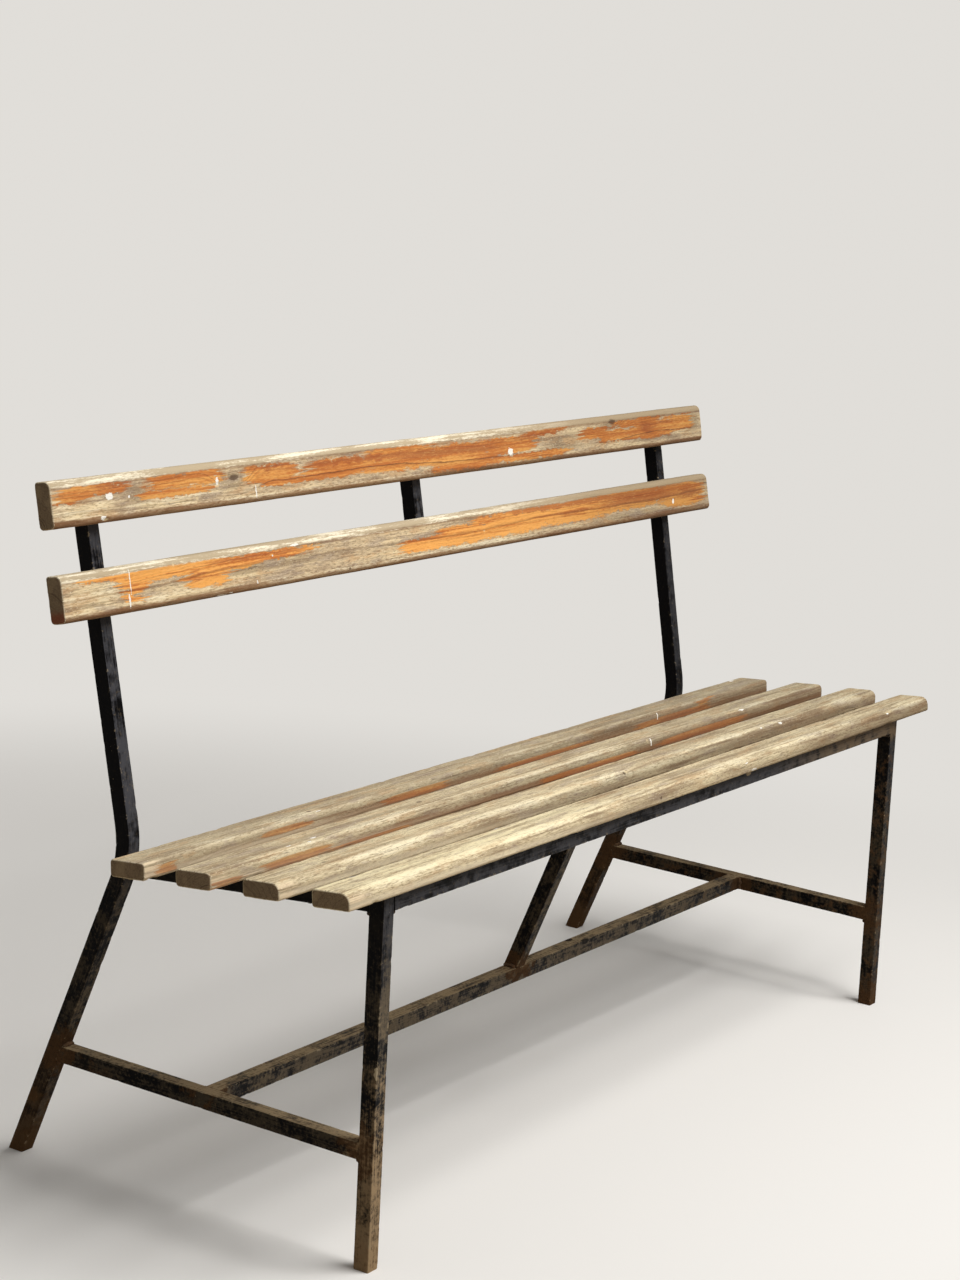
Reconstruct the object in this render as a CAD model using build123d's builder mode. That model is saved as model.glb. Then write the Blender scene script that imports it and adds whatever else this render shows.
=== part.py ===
from build123d import *

import os
from math import cos, radians, sin, sqrt, tan

# A slatted bench. A welded frame of square steel bar carries four seat slats and two back
# slats. All sizes are in millimetres. X runs along the bench, +Y points to its back and +Z
# points up. The origin lies on the floor, below the middle of the whole bench, which is a
# little to the right of the frame's middle, because the slats reach further on that side.

# ---------------------------------------------------------------- driving dimensions

# square bar
bar = 20.0  # side of the bar
bar_edge = 1.0  # rounding along its edges
bend_radius = 125.0  # where the rear leg turns into the back post, on the centreline

# frame
frame_width = 1344.0  # over the outer faces of the two end frames
rail_height = 442.0  # floor to the top of the seat frame, at the face of the front legs
seat_slope = 5.8  # degrees that the seat falls towards the back
front_leg_lean = 2.0  # degrees that the front legs lean back
rear_leg_lean = 19.8  # degrees that the rear legs splay out behind
post_lean = 12.8  # degrees that the back posts lean back
post_splay = 1.3  # degrees that they lean outwards, from just above their bend
stretcher_height = 150.0  # floor to the top of the three stretchers
long_stretcher_setback = 250.0  # front of the feet to the middle of the long stretcher
brace_offset = 12.0  # the centre brace and centre rail stand this far right of its middle
brace_setback = 147.0  # front of the seat frame to the middle of the brace's upper end
centre_rail_inset = 8.0  # the centre rail ends this far inside the rear slat's back edge
weld_leg = 5.0  # how far a weld bead runs up each face
weld_bulge = 0.6  # how far its face swells

# slats
slat_end_round = 3.0  # rounding of the end grain's rim
seat_slat_width = 51.0
seat_slat_thickness = 21.0
seat_slat_left_reach = 82.0  # seat slats beyond the left end frame
seat_slat_right_reach = (92.0, 109.0, 116.0, 114.0)  # beyond the right one, front slat first
seat_slat_gap = 44.0
seat_slat_overhang = 11.0  # front slat ahead of the front legs
post_gap = 36.0  # rear slat to the line where the faces of rear leg and post would meet
back_slat_width = 56.0
back_slat_thickness = 23.0
back_slat_left_reach = 91.0  # back slats beyond the left end frame
back_slat_right_reach = 102.0  # and beyond the right one
back_slat_rise = 288.0  # seat frame to the lower back slat, measured up the post
back_slat_gap = 52.0
post_inset = 12.0  # the posts end this far below the top of the upper slat
strap_inset = 12.0  # the centre strap ends this far inside the two back slats

# Rounding of each slat's four long edges. Seat slats, from the front: lower front, upper
# front, upper back, lower back. Back slats: lower back, lower front, upper front, upper back.
seat_slat_edges = (
    (3.5, 12.0, 5.0, 3.5),
    (3.5, 11.0, 5.0, 3.5),
    (5.0, 7.0, 6.0, 5.0),
    (4.0, 5.0, 4.0, 4.0),
)
back_slat_edges = (5.0, 6.0, 9.0, 3.5)

# slotted round-head wood screws
screw_d = 4.8
screw_head_d = 9.2
screw_head_height = 3.4
screw_slot_width = 1.3
screw_slot_depth = 1.6
screw_tip = 3.0  # length of the tapered point
screw_clearance = 0.4  # between the screw and its hole in the bar, all round
screw_cover = 6.0  # wood left over the end of a seat slat's pilot hole
front_screw_inset = 60.0  # outer face of the frame to the front slat's end screws

# ---------------------------------------------------------------- lines and planes

left_reach = max(seat_slat_left_reach, back_slat_left_reach)
right_reach = max(*seat_slat_right_reach, back_slat_right_reach)
frame_middle = (left_reach - right_reach) / 2
frame_left = frame_middle - frame_width / 2  # outer faces of the end frames
frame_right = frame_middle + frame_width / 2
left_x = frame_left + bar / 2  # their centrelines
right_x = frame_right - bar / 2
brace_x = frame_middle + brace_offset
hole_r = screw_d / 2 + screw_clearance
screw_bite = seat_slat_thickness - screw_cover  # length of screw in the wood
slat_pitch = seat_slat_width + seat_slat_gap

# distances down the seat's slope from the front face of the front legs
slat_starts = [i * slat_pitch - seat_slat_overhang for i in range(len(seat_slat_edges))]
slat_middles = [start + seat_slat_width / 2 for start in slat_starts]
seat_end = slat_starts[-1] + seat_slat_width
post_line = seat_end + post_gap

# distances up the post from the seat frame
back_slat_starts = (back_slat_rise, back_slat_rise + back_slat_width + back_slat_gap)
back_slat_middles = [start + back_slat_width / 2 for start in back_slat_starts]
back_top = back_slat_starts[-1] + back_slat_width
splay_start = (bend_radius + bar / 2) * tan(radians((rear_leg_lean + post_lean) / 2)) + bar / 2


def in_side_view(run, rise):
    """A direction in the YZ plane."""
    return Vector(0, run, rise)


front_up = in_side_view(sin(radians(front_leg_lean)), cos(radians(front_leg_lean)))
front_back = in_side_view(cos(radians(front_leg_lean)), -sin(radians(front_leg_lean)))
rear_up = in_side_view(-sin(radians(rear_leg_lean)), cos(radians(rear_leg_lean)))
rear_back = in_side_view(cos(radians(rear_leg_lean)), sin(radians(rear_leg_lean)))
post_up = in_side_view(sin(radians(post_lean)), cos(radians(post_lean)))
post_back = in_side_view(cos(radians(post_lean)), -sin(radians(post_lean)))
seat_up = in_side_view(sin(radians(seat_slope)), cos(radians(seat_slope)))

# depth over the feet, which the origin halves
leg_top_run = rail_height * tan(radians(front_leg_lean))
bend_run = leg_top_run + post_line * cos(radians(seat_slope))
bend_rise = rail_height - post_line * sin(radians(seat_slope))
foot_depth = bend_run + bend_rise * tan(radians(rear_leg_lean)) + bar / cos(radians(rear_leg_lean))
front_y = -foot_depth / 2

# seat: top of the seat frame, local Y runs down the slope. back: front of the posts, local Y
# runs up them.
floor = Plane.XY
seat = Plane(origin=(0, front_y + leg_top_run, rail_height), x_dir=(1, 0, 0), z_dir=seat_up)
back = Plane(origin=seat.from_local_coords(Vector(0, post_line, 0)), x_dir=(1, 0, 0), z_dir=-post_back)
rail_underside = seat.offset(-bar)
front_leg_back = Plane(origin=seat.origin + front_back * bar, x_dir=(1, 0, 0), z_dir=front_back)
rear_leg_front = Plane(origin=back.origin, x_dir=(1, 0, 0), z_dir=rear_back)
stretcher_top = floor.offset(stretcher_height)
stretcher_y = front_y + long_stretcher_setback
stretcher_z = stretcher_height - bar / 2

# centreline of the bent bar, and the centre of its bend. Moving both of its straight lines
# back by a distance moves the point where they cross by that many times bend_shift.
bend_shift = (rear_back + post_back) / (1 + rear_back.dot(post_back))
bend = back.origin + bend_shift * (bar / 2)
bend_centre = bend + bend_shift * bend_radius
outer_radius = bend_radius + bar / 2
foot = bend - rear_up * (bend_rise / cos(radians(rear_leg_lean)) + bar)
kink = bend + post_up * (splay_start - (bend - back.origin).dot(post_up))


def on_seat(x, down_slope, above=0.0):
    """A point by its place on the seat frame's top plane."""
    return seat.from_local_coords(Vector(x, down_slope, above))


def on_back(x, up_post, ahead=0.0):
    """A point by its place on the posts' front plane."""
    return back.from_local_coords(Vector(x, up_post, ahead))


def seat_place(x, down_slope, above=0.0):
    return seat.location * Location((x, down_slope, above))


def back_place(x, up_post, ahead=0.0):
    return back.location * Location((x, up_post, ahead))


def at_x(point, x):
    return Vector(x, point.Y, point.Z)


def meet(point, direction, plane):
    """Where the line through point along direction crosses a plane."""
    return point + direction * ((plane.origin - point).dot(plane.z_dir) / direction.dot(plane.z_dir))


def splay_at(up_post):
    """How far a post has leant outwards, by height up the post."""
    return max(0, up_post - splay_start) * tan(radians(post_splay))


# screws, each by its place along the bench and down the slope or up the post
front_screw_x = (frame_left + front_screw_inset, brace_x, frame_right - front_screw_inset)
front_screws = [(x, bar / 2) for x in front_screw_x]
rail_screws = [(x, middle) for x in (left_x, brace_x, right_x) for middle in slat_middles[1:]]
left_post_screws = [(left_x - splay_at(middle), middle) for middle in back_slat_middles]
strap_screws = [(frame_middle, middle) for middle in back_slat_middles]
right_post_screws = [(right_x + splay_at(middle), middle) for middle in back_slat_middles]
post_screws = left_post_screws + strap_screws + right_post_screws

# ---------------------------------------------------------------- stock


def square_bar(start, end, across=(1, 0, 0)):
    """Adds a square bar between two points of its centreline, one of its sides along across."""
    with BuildSketch(Plane(origin=start, x_dir=across, z_dir=end - start)) as section:
        RectangleRounded(bar, bar, bar_edge)
    extrude(section.sketch, amount=(end - start).length)


def slat_stock(corner, across, width, thickness, right_end, edges):
    """Adds a slat along X, from the lower front corner of its left end to the X of its right end.
    Its width runs across, and its long edges are rounded."""
    with BuildSketch(Plane(origin=corner, x_dir=across, z_dir=(1, 0, 0))) as section:
        Rectangle(width, thickness, align=(Align.MIN, Align.MIN))
        corners = ((0, 0), (0, thickness), (width, thickness), (width, 0))
        for place, radius in zip(corners, edges):
            fillet(section.vertices().sort_by_distance(place)[0], radius)
    extrude(section.sketch, amount=right_end - corner.X)


def screw_holes(places):
    """Drills the bar being built right through, from its face at each place."""
    with Locations(*places):
        Hole(hole_r, depth=bar)


def pilot_holes(places):
    """Drills the slat being built from its face at each place, as deep as the screws bite."""
    with Locations(*places):
        Cylinder(screw_d / 2, screw_bite, align=(Align.CENTER, Align.CENTER, Align.MIN), mode=Mode.SUBTRACT)


def weld_bead(middle, first, second):
    """A bead in the corner between two faces that run off it in the directions given."""
    along = first.cross(second).normalized()
    length = bar - 2 * bar_edge
    section_plane = Plane(origin=middle - along * (length / 2), x_dir=first, z_dir=along)
    toe = section_plane.to_local_coords(section_plane.origin + second.normalized() * weld_leg)
    with BuildPart() as bead:
        with BuildSketch(section_plane):
            with BuildLine():
                Line((0, 0), (weld_leg, 0))
                SagittaArc((weld_leg, 0), (toe.X, toe.Y), weld_bulge)
                Line((toe.X, toe.Y), (0, 0))
            make_face()
        extrude(amount=length)
    return bead.part


def save(piece, name):
    """Labels a finished piece and writes it."""
    piece.part.label = name
    export_step(piece.part, f"parts/{name}.step")


os.makedirs("parts", exist_ok=True)

# ---------------------------------------------------------------- end frames


def bend_contact(above):
    """Where a line down the slope, this far above the seat plane, meets the bent bar."""
    centre = seat.to_local_coords(bend_centre)
    return centre.Y - sqrt(outer_radius**2 - (above - centre.Z) ** 2)


def end_frame_beads(x):
    """The weld beads that hold one end frame together and join the long bars to it."""
    inward = Vector(-1 if x == right_x else 1, 0, 0)
    inner_face = x + inward.X * bar / 2
    down_slope = seat.y_dir
    beads = []
    for level, up in ((stretcher_top, 1), (stretcher_top.offset(-bar), -1)):
        front_corner = meet(front_leg_back.origin, front_up, level)
        rear_corner = meet(rear_leg_front.origin, rear_up, level)
        beads.append(weld_bead(at_x(front_corner, x), Vector(0, 1, 0), front_up * up))
        beads.append(weld_bead(at_x(rear_corner, x), Vector(0, -1, 0), rear_up * up))
    for above, up in ((0, 1), (-bar, -1)):
        corner = on_seat(x, bend_contact(above), above)
        outward = (corner - at_x(bend_centre, x)).normalized()
        tangent = in_side_view(outward.Z, -outward.Y)
        beads.append(weld_bead(corner, -down_slope, tangent * up))
    leg_corner = meet(front_leg_back.origin, front_up, rail_underside)
    beads.append(weld_bead(at_x(leg_corner, x), down_slope, -front_up))
    beads.append(weld_bead(on_seat(inner_face, bar / 2, -bar), inward, -seat_up))
    for front in (1, -1):
        corner = Vector(inner_face, stretcher_y - front * bar / 2, stretcher_z)
        beads.append(weld_bead(corner, inward, Vector(0, -front, 0)))
    return beads


for side, x, outwards in (("left", left_x, -1), ("right", right_x, 1)):
    # front leg, cut level at the floor and along the seat's slope at the top
    leg_top = at_x(seat.origin + front_back * (bar / 2), x)
    with BuildPart() as front_leg:
        square_bar(leg_top - front_up * (rail_height + bar), leg_top + front_up * bar)
        split(bisect_by=floor, keep=Keep.TOP)
        split(bisect_by=seat, keep=Keep.BOTTOM)
    save(front_leg, f"{side}_front_leg")

    # rear leg and back post, one bar with a bend at the seat. Above the bend it leans outwards,
    # its front still in line with the back slats.
    with BuildPart() as rear_leg_post:
        with BuildLine(Plane.YZ.offset(x)) as run:
            FilletPolyline((foot.Y, foot.Z), (bend.Y, bend.Z), (kink.Y, kink.Z), radius=bend_radius)
        with BuildSketch(Plane(origin=run.line @ 0, x_dir=(1, 0, 0), z_dir=run.line % 0)):
            RectangleRounded(bar, bar, bar_edge)
        sweep(path=run.line)
        split(bisect_by=floor, keep=Keep.TOP)
        post_length = (back_top - post_inset - splay_start) / cos(radians(post_splay))
        post_direction = post_up + Vector(outwards * tan(radians(post_splay)), 0, 0)
        with BuildSketch(Plane(origin=at_x(kink, x), x_dir=(1, 0, 0), z_dir=post_up)) as section:
            RectangleRounded(bar, bar, bar_edge)
        extrude(section.sketch, amount=post_length, dir=post_direction)
        screw_holes([back_place(x + outwards * splay_at(middle), middle) for middle in back_slat_middles])
    save(rear_leg_post, f"{side}_rear_leg_post")

    # seat rail, cut to the front leg and hollowed to fit the bend
    with BuildPart() as seat_rail:
        square_bar(on_seat(x, 0, -bar / 2), on_seat(x, post_line + bar / 2, -bar / 2))
        split(bisect_by=front_leg_back, keep=Keep.TOP)
        with BuildSketch(Plane.YZ.offset(x)):
            with BuildLine():
                leg_low = back.origin - rear_up * outer_radius
                post_high = back.origin + post_up * outer_radius
                FilletPolyline(
                    (leg_low.Y, leg_low.Z),
                    (back.origin.Y, back.origin.Z),
                    (post_high.Y, post_high.Z),
                    radius=outer_radius,
                )
                Polyline(
                    (post_high.Y, post_high.Z),
                    (post_high.Y + outer_radius, post_high.Z),
                    (leg_low.Y + outer_radius, leg_low.Z),
                    (leg_low.Y, leg_low.Z),
                )
            make_face()
        extrude(amount=bar, both=True, mode=Mode.SUBTRACT)
        screw_holes([seat_place(x, middle) for middle in slat_middles[1:]])
    save(seat_rail, f"{side}_seat_rail")

    # side stretcher, between the front leg and the rear leg
    with BuildPart() as side_stretcher:
        square_bar(Vector(x, front_y, stretcher_z), Vector(x, -front_y, stretcher_z))
        split(bisect_by=front_leg_back, keep=Keep.TOP)
        split(bisect_by=rear_leg_front, keep=Keep.BOTTOM)
    save(side_stretcher, f"{side}_side_stretcher")

    frame_beads = end_frame_beads(x)
    with BuildPart() as frame_welds:
        add(frame_beads)
    save(frame_welds, f"{side}_frame_welds")

# ---------------------------------------------------------------- bars between the end frames

with BuildPart() as front_seat_rail:
    square_bar(
        on_seat(left_x + bar / 2, bar / 2, -bar / 2),
        on_seat(right_x - bar / 2, bar / 2, -bar / 2),
        seat.y_dir,
    )
    screw_holes([seat_place(*place) for place in front_screws])
save(front_seat_rail, "front_seat_rail")

with BuildPart() as long_stretcher:
    square_bar(
        Vector(left_x + bar / 2, stretcher_y, stretcher_z),
        Vector(right_x - bar / 2, stretcher_y, stretcher_z),
        (0, 1, 0),
    )
save(long_stretcher, "long_stretcher")

with BuildPart() as centre_seat_rail:
    square_bar(
        on_seat(brace_x, bar, -bar / 2),
        on_seat(brace_x, seat_end - centre_rail_inset, -bar / 2),
    )
    screw_holes([seat_place(brace_x, middle) for middle in slat_middles[1:]])
save(centre_seat_rail, "centre_seat_rail")

brace_foot = Vector(brace_x, stretcher_y, stretcher_height)
brace_top = on_seat(brace_x, brace_setback, -bar)
brace_up = (brace_top - brace_foot).normalized()
with BuildPart() as centre_brace:
    square_bar(brace_foot - brace_up * bar, brace_top + brace_up * bar)
    split(bisect_by=stretcher_top, keep=Keep.TOP)
    split(bisect_by=rail_underside, keep=Keep.BOTTOM)
save(centre_brace, "centre_brace")

with BuildPart() as centre_back_strap:
    square_bar(
        on_back(frame_middle, back_slat_rise + strap_inset, -bar / 2),
        on_back(frame_middle, back_top - strap_inset, -bar / 2),
    )
    screw_holes([back_place(*place) for place in strap_screws])
save(centre_back_strap, "centre_back_strap")

# beads at the brace's foot and top, and where the centre rail meets the front rail
brace_half = bar / 2 / brace_up.dot(seat_up)
centre_beads = []
for hand in (-1, 1):
    sideways = Vector(hand, 0, 0)
    side_x = brace_x + hand * bar / 2
    centre_beads.append(weld_bead(at_x(brace_foot, side_x), sideways, Vector(0, 0, 1)))
    centre_beads.append(weld_bead(on_seat(side_x, bar, -bar / 2), sideways, seat.y_dir))
    corner = brace_top + seat.y_dir * (hand * brace_half)
    centre_beads.append(weld_bead(corner, seat.y_dir * hand, -brace_up))
with BuildPart() as centre_welds:
    add(centre_beads)
save(centre_welds, "centre_welds")

# ---------------------------------------------------------------- slats

seat_slats = zip(slat_starts, slat_middles, seat_slat_right_reach, seat_slat_edges)
for number, (start, middle, reach, edges) in enumerate(seat_slats, 1):
    screws = front_screws if number == 1 else [place for place in rail_screws if place[1] == middle]
    corner = on_seat(frame_left - seat_slat_left_reach, start)
    with BuildPart() as seat_slat:
        slat_stock(corner, seat.y_dir, seat_slat_width, seat_slat_thickness, frame_right + reach, edges)
        fillet(seat_slat.faces().filter_by(Axis.X).edges(), slat_end_round)
        pilot_holes([seat_place(*place) for place in screws])
    save(seat_slat, f"seat_slat_{number}")

for name, start, middle in zip(("lower", "upper"), back_slat_starts, back_slat_middles):
    screws = [place for place in post_screws if place[1] == middle]
    corner = on_back(frame_left - back_slat_left_reach, start)
    right_end = frame_right + back_slat_right_reach
    with BuildPart() as back_slat:
        slat_stock(corner, post_up, back_slat_width, back_slat_thickness, right_end, back_slat_edges)
        fillet(back_slat.faces().filter_by(Axis.X).edges(), slat_end_round)
        pilot_holes([back_place(*place) for place in screws])
    save(back_slat, f"{name}_back_slat")

# ---------------------------------------------------------------- screws

# one screw, the underside of its head on the origin and its point up
with BuildPart() as screw:
    with BuildSketch(Plane.XZ):
        with BuildLine():
            TangentArc((0, -screw_head_height), (screw_head_d / 2, 0), tangent=(1, 0))
            Polyline(
                (screw_head_d / 2, 0),
                (screw_d / 2, 0),
                (screw_d / 2, bar + screw_bite - screw_tip),
                (0, bar + screw_bite),
                (0, -screw_head_height),
            )
        make_face()
    revolve(axis=Axis.Z)
    with Locations((0, 0, -screw_head_height)):
        Box(
            screw_head_d,
            screw_slot_width,
            screw_slot_depth,
            align=(Align.CENTER, Align.CENTER, Align.MIN),
            mode=Mode.SUBTRACT,
        )

with BuildPart() as seat_screws:
    with Locations(*[seat_place(x, middle, -bar) for x, middle in front_screws + rail_screws]):
        add(screw.part)
save(seat_screws, "seat_screws")

with BuildPart() as back_screws:
    with Locations(*[back_place(x, middle, -bar) for x, middle in post_screws]):
        add(screw.part)
save(back_screws, "back_screws")
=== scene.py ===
"""Dresses the frame of a slatted bench: weathered slats, painted bars, welds and screws."""

import math

import bpy
import numpy as np
from bpy.props import FloatProperty, FloatVectorProperty, IntProperty, PointerProperty
from mathutils import Matrix, Vector


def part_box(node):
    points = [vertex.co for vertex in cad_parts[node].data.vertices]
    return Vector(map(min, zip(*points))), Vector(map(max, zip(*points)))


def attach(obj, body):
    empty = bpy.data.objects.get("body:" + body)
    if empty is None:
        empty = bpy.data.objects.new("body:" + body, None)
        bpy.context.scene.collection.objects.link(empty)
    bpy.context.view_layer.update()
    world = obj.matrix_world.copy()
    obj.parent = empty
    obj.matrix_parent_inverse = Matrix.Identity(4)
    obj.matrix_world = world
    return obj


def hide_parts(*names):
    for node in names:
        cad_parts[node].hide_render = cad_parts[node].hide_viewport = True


bl_info = {
    "name": "Slatted bench",
    "version": (1, 0, 0),
    "blender": (4, 5, 0),
    "location": "View3D > Sidebar > Bench",
    "description": "Weathered slats on a welded frame of painted square bar",
    "category": "Object",
}

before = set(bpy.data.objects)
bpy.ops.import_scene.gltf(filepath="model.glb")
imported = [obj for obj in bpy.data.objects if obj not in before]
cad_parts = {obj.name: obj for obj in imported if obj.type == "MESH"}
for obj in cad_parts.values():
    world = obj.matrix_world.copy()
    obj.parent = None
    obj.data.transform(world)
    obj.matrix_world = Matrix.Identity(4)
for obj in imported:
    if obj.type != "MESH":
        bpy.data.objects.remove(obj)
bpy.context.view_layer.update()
bar_side = (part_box("left_front_leg")[1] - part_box("left_front_leg")[0]).x

X, Y, Z = Vector((1, 0, 0)), Vector((0, 1, 0)), Vector((0, 0, 1))


# ---------------------------------------------------------------- settings


def length(name, description, default):
    return FloatProperty(name=name, description=description, default=default, unit="LENGTH", precision=4)


def lengths(name, description, *defaults):
    return FloatVectorProperty(
        name=name, description=description, default=defaults, size=len(defaults), unit="LENGTH", precision=4
    )


def angle(name, description, degrees):
    return FloatProperty(name=name, description=description, default=math.radians(degrees), subtype="ANGLE")


def amount(name, description, default):
    return FloatProperty(name=name, description=description, default=default, min=0.0)


def count(name, description, default, least):
    return IntProperty(name=name, description=description, default=default, min=least)


def linear(red, green, blue):
    """A colour as Blender's sockets hold it, from its 0 to 255 screen values."""

    def one(value):
        return value / 3294.6 if value <= 10 else ((value / 255 + 0.055) / 1.055) ** 2.4

    return one(red), one(green), one(blue)


def colour(name, description, *screen):
    return FloatVectorProperty(
        name=name, description=description, default=linear(*screen), subtype="COLOR", min=0.0, max=1.0
    )


class BenchSizes(bpy.types.PropertyGroup):
    """Lengths and angles of the bench."""

    bar_side: length("Bar side", "Side of the square bar", bar_side)
    bar_edge: length("Bar edge", "Rounding along the bar's edges", 0.001)
    bend_radius: length("Bend radius", "Bend of the rear leg into the post, on the centreline", 0.125)
    frame_width: length("Frame width", "Over the outer faces of the end frames", 1.344)
    rail_height: length("Rail height", "Floor to the seat frame at the front", 0.442)
    seat_slope: angle("Seat slope", "Fall of the seat towards the back", 5.8)
    front_leg_lean: angle("Front leg lean", "Lean of the front legs towards the back", 2.0)
    rear_leg_lean: angle("Rear leg lean", "Splay of the rear legs", 19.8)
    post_lean: angle("Post lean", "Lean of the back posts", 12.8)
    post_splay: angle("Post splay", "Lean of the posts outwards, above their bend", 1.3)
    stretcher_height: length("Stretcher height", "Floor to the top of the stretchers", 0.150)
    stretcher_setback: length("Stretcher setback", "Front of the feet to the long stretcher", 0.250)
    brace_offset: length("Brace offset", "Centre brace to the right of the frame's middle", 0.012)
    brace_setback: length("Brace setback", "Front of the seat to the brace's upper end", 0.147)
    centre_rail_inset: length("Centre rail inset", "Rear slat's back edge to the centre rail's end", 0.008)
    seat_slat_width: length("Seat slat width", "Width of the seat slats", 0.051)
    seat_slat_thickness: length("Seat slat thickness", "Thickness of the seat slats", 0.021)
    seat_slat_left_reach: length("Seat slat left reach", "Seat slats beyond the left end frame", 0.082)
    seat_slat_right_reach: lengths(
        "Seat slat right reach", "Beyond the right end frame, front slat first", 0.092, 0.109, 0.116, 0.114
    )
    seat_slat_gap: length("Seat slat gap", "Between two seat slats", 0.044)
    seat_slat_overhang: length("Seat slat overhang", "Front slat ahead of the front legs", 0.011)
    post_gap: length("Post gap", "Rear slat to the line of the posts", 0.036)
    back_slat_width: length("Back slat width", "Width of the back slats", 0.056)
    back_slat_thickness: length("Back slat thickness", "Thickness of the back slats", 0.023)
    back_slat_left_reach: length("Back slat left reach", "Back slats beyond the left end frame", 0.091)
    back_slat_right_reach: length("Back slat right reach", "Back slats beyond the right end frame", 0.102)
    back_slat_rise: length("Back slat rise", "Seat frame to the lower back slat, up the post", 0.288)
    back_slat_gap: length("Back slat gap", "Between the two back slats", 0.052)
    post_inset: length("Post inset", "Top of the upper slat to the end of the posts", 0.012)
    strap_inset: length("Strap inset", "Centre strap's ends inside the back slats", 0.012)
    screw_head: length("Screw head", "Diameter of a screw's head", 0.0092)
    screw_head_height: length("Screw head height", "Height of a screw's head", 0.0034)
    screw_shank: length("Screw shank", "Diameter of a screw's shank", 0.0048)
    screw_bite: length("Screw bite", "Length of a screw in the wood", 0.015)
    screw_slot: length("Screw slot", "Width of a screw's slot", 0.0013)


class WoodFinish(bpy.types.PropertyGroup):
    """Colours and relief of the slats."""

    seat_pale: colour("Seat pale", "Dry, worn softwood of the seat", 240, 223, 182)
    seat_grey: colour("Seat grey", "Greyed softwood of the seat", 188, 168, 134)
    back_pale: colour("Back pale", "Bleached softwood of the back", 236, 212, 168)
    back_grey: colour("Back grey", "Greyed softwood of the back", 184, 160, 130)
    shade: colour("Shade", "Dirt in the grain", 116, 92, 66)
    # partly a stain and partly painted shade on the lower edges
    edge_stain_and_shade: colour("Low edge", "Stain along the lower edges", 124, 82, 48)
    late_wood: colour("Late wood", "Dark lines of the growth rings", 142, 114, 82)
    varnish: colour("Varnish", "Old varnish left on the wood", 222, 134, 58)
    varnish_red: colour("Red varnish", "Where the varnish is thick", 176, 88, 38)
    varnish_amber: colour("Amber varnish", "Where the varnish is thin", 250, 176, 88)
    varnish_line: colour("Varnished line", "Growth rings under varnish", 104, 54, 26)
    end_grain: colour("End grain", "Sawn ends", 142, 122, 96)
    white: colour("White marks", "Specks and scratches of white", 250, 246, 236)
    ring_width: length("Ring width", "Mean width of a growth ring", 0.0025)
    relief: length("Relief", "Depth worn between the growth rings", 0.00022)
    chip_depth: length("Chip depth", "Depth of chips along the slats' edges", 0.0014)
    seat_end_round: lengths("Seat end rounding", "Worn left and right end of a seat slat", 0.002, 0.008)
    back_end_round: lengths("Back end rounding", "Worn left and right end of a back slat", 0.0022, 0.0032)
    # painted shade: every slat darker towards its right
    right_painted_shade: amount("Right shade", "How much darker every slat gets towards its right", 0.22)
    # painted shade on the seat slats' fronts
    front_painted_shade: amount("Front shade", "Share of the dullness of the seat slats' fronts", 1.0)
    # painted light at the seat's left
    left_painted_light: amount("Left bleach", "Share of the yellow and pale at the seat's left", 1.0)
    # painted shade on the varnish
    varnish_painted_shade: amount("Varnish shade", "Darker varnish: the upper slat and the lower's right", 0.17)
    rows: count("Rows", "Rows of faces along a slat", 250, 20)
    section_points: count("Section points", "Points round a slat", 104, 16)


class FrameFinish(bpy.types.PropertyGroup):
    """Colours and relief of the metal."""

    paint: colour("Paint", "Old black paint", 10, 9, 10)
    # partly chalky paint and partly painted sheen, laid on the fronts
    paint_chalk_and_sheen: colour("Worn paint", "Chalky, rubbed paint", 76, 76, 80)
    paint_dirty: colour("Dirty paint", "Paint low on the frame", 114, 102, 84)
    rust: colour("Rust", "Brown rust at welds and feet", 84, 62, 42)
    rust_bright: colour("Bright rust", "Lighter rust", 108, 76, 48)
    dust: colour("Dust", "Dust on upper faces", 152, 132, 102)
    bare: colour("Bare chips", "Chipped edges", 160, 144, 118)
    steel: colour("Steel", "Screw heads", 120, 112, 102)
    # partly chalk and partly painted sheen on the fronts
    front_chalk_and_sheen: amount("Chalk", "Chalky film on the fronts of the bars", 0.84)
    # painted shade: less of that film on the right end frame
    right_frame_painted_shade: amount("Chalk loss", "How much less of it the right end frame has", 0.44)
    rail_right_brown: amount("Rail dirt", "Brown at the right of the front rail", 0.7)
    row_spacing: length("Row spacing", "Between two rows of faces along a bar", 0.003)
    paint_depth: length("Paint depth", "Thickness of the old coats of paint", 0.0003)
    lump: length("Lump", "Depth of the hollows in the paint", 0.00035)
    weld_bulk: length("Weld bulk", "Radius of the drops that form a bead", 0.0031)


class StudioLook(bpy.types.PropertyGroup):
    """Floor, lamps and camera."""

    floor: colour("Floor", "Floor and backdrop", 232, 229, 224)
    bounce: colour("Bounce", "Tint of the light that the floor throws back up", 158, 144, 122)
    key: amount("Key", "Power of the large lamp above the front, in watts", 172.0)
    fill: amount("Fill", "Power of the lamp at the front left, in watts", 7.0)
    ambient: amount("Ambient", "Strength of the light from all around", 0.25)
    glow: amount("Glow", "Brightness at which the backdrop is seen", 0.93)
    lens: FloatProperty(name="Lens", description="Focal length in mm", default=80.946, unit="CAMERA")
    camera: FloatVectorProperty(
        name="Camera",
        description="Place of the camera",
        default=(-3.23788, -1.95193, 1.35700),
        subtype="TRANSLATION",
    )
    turn: angle("Turn", "Camera from the X axis towards the back", 32.06)
    dip: angle("Dip", "Camera below level", 11.39)
    roll: angle("Roll", "Camera about its own axis", -4.62)


# ---------------------------------------------------------------- node trees


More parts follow.
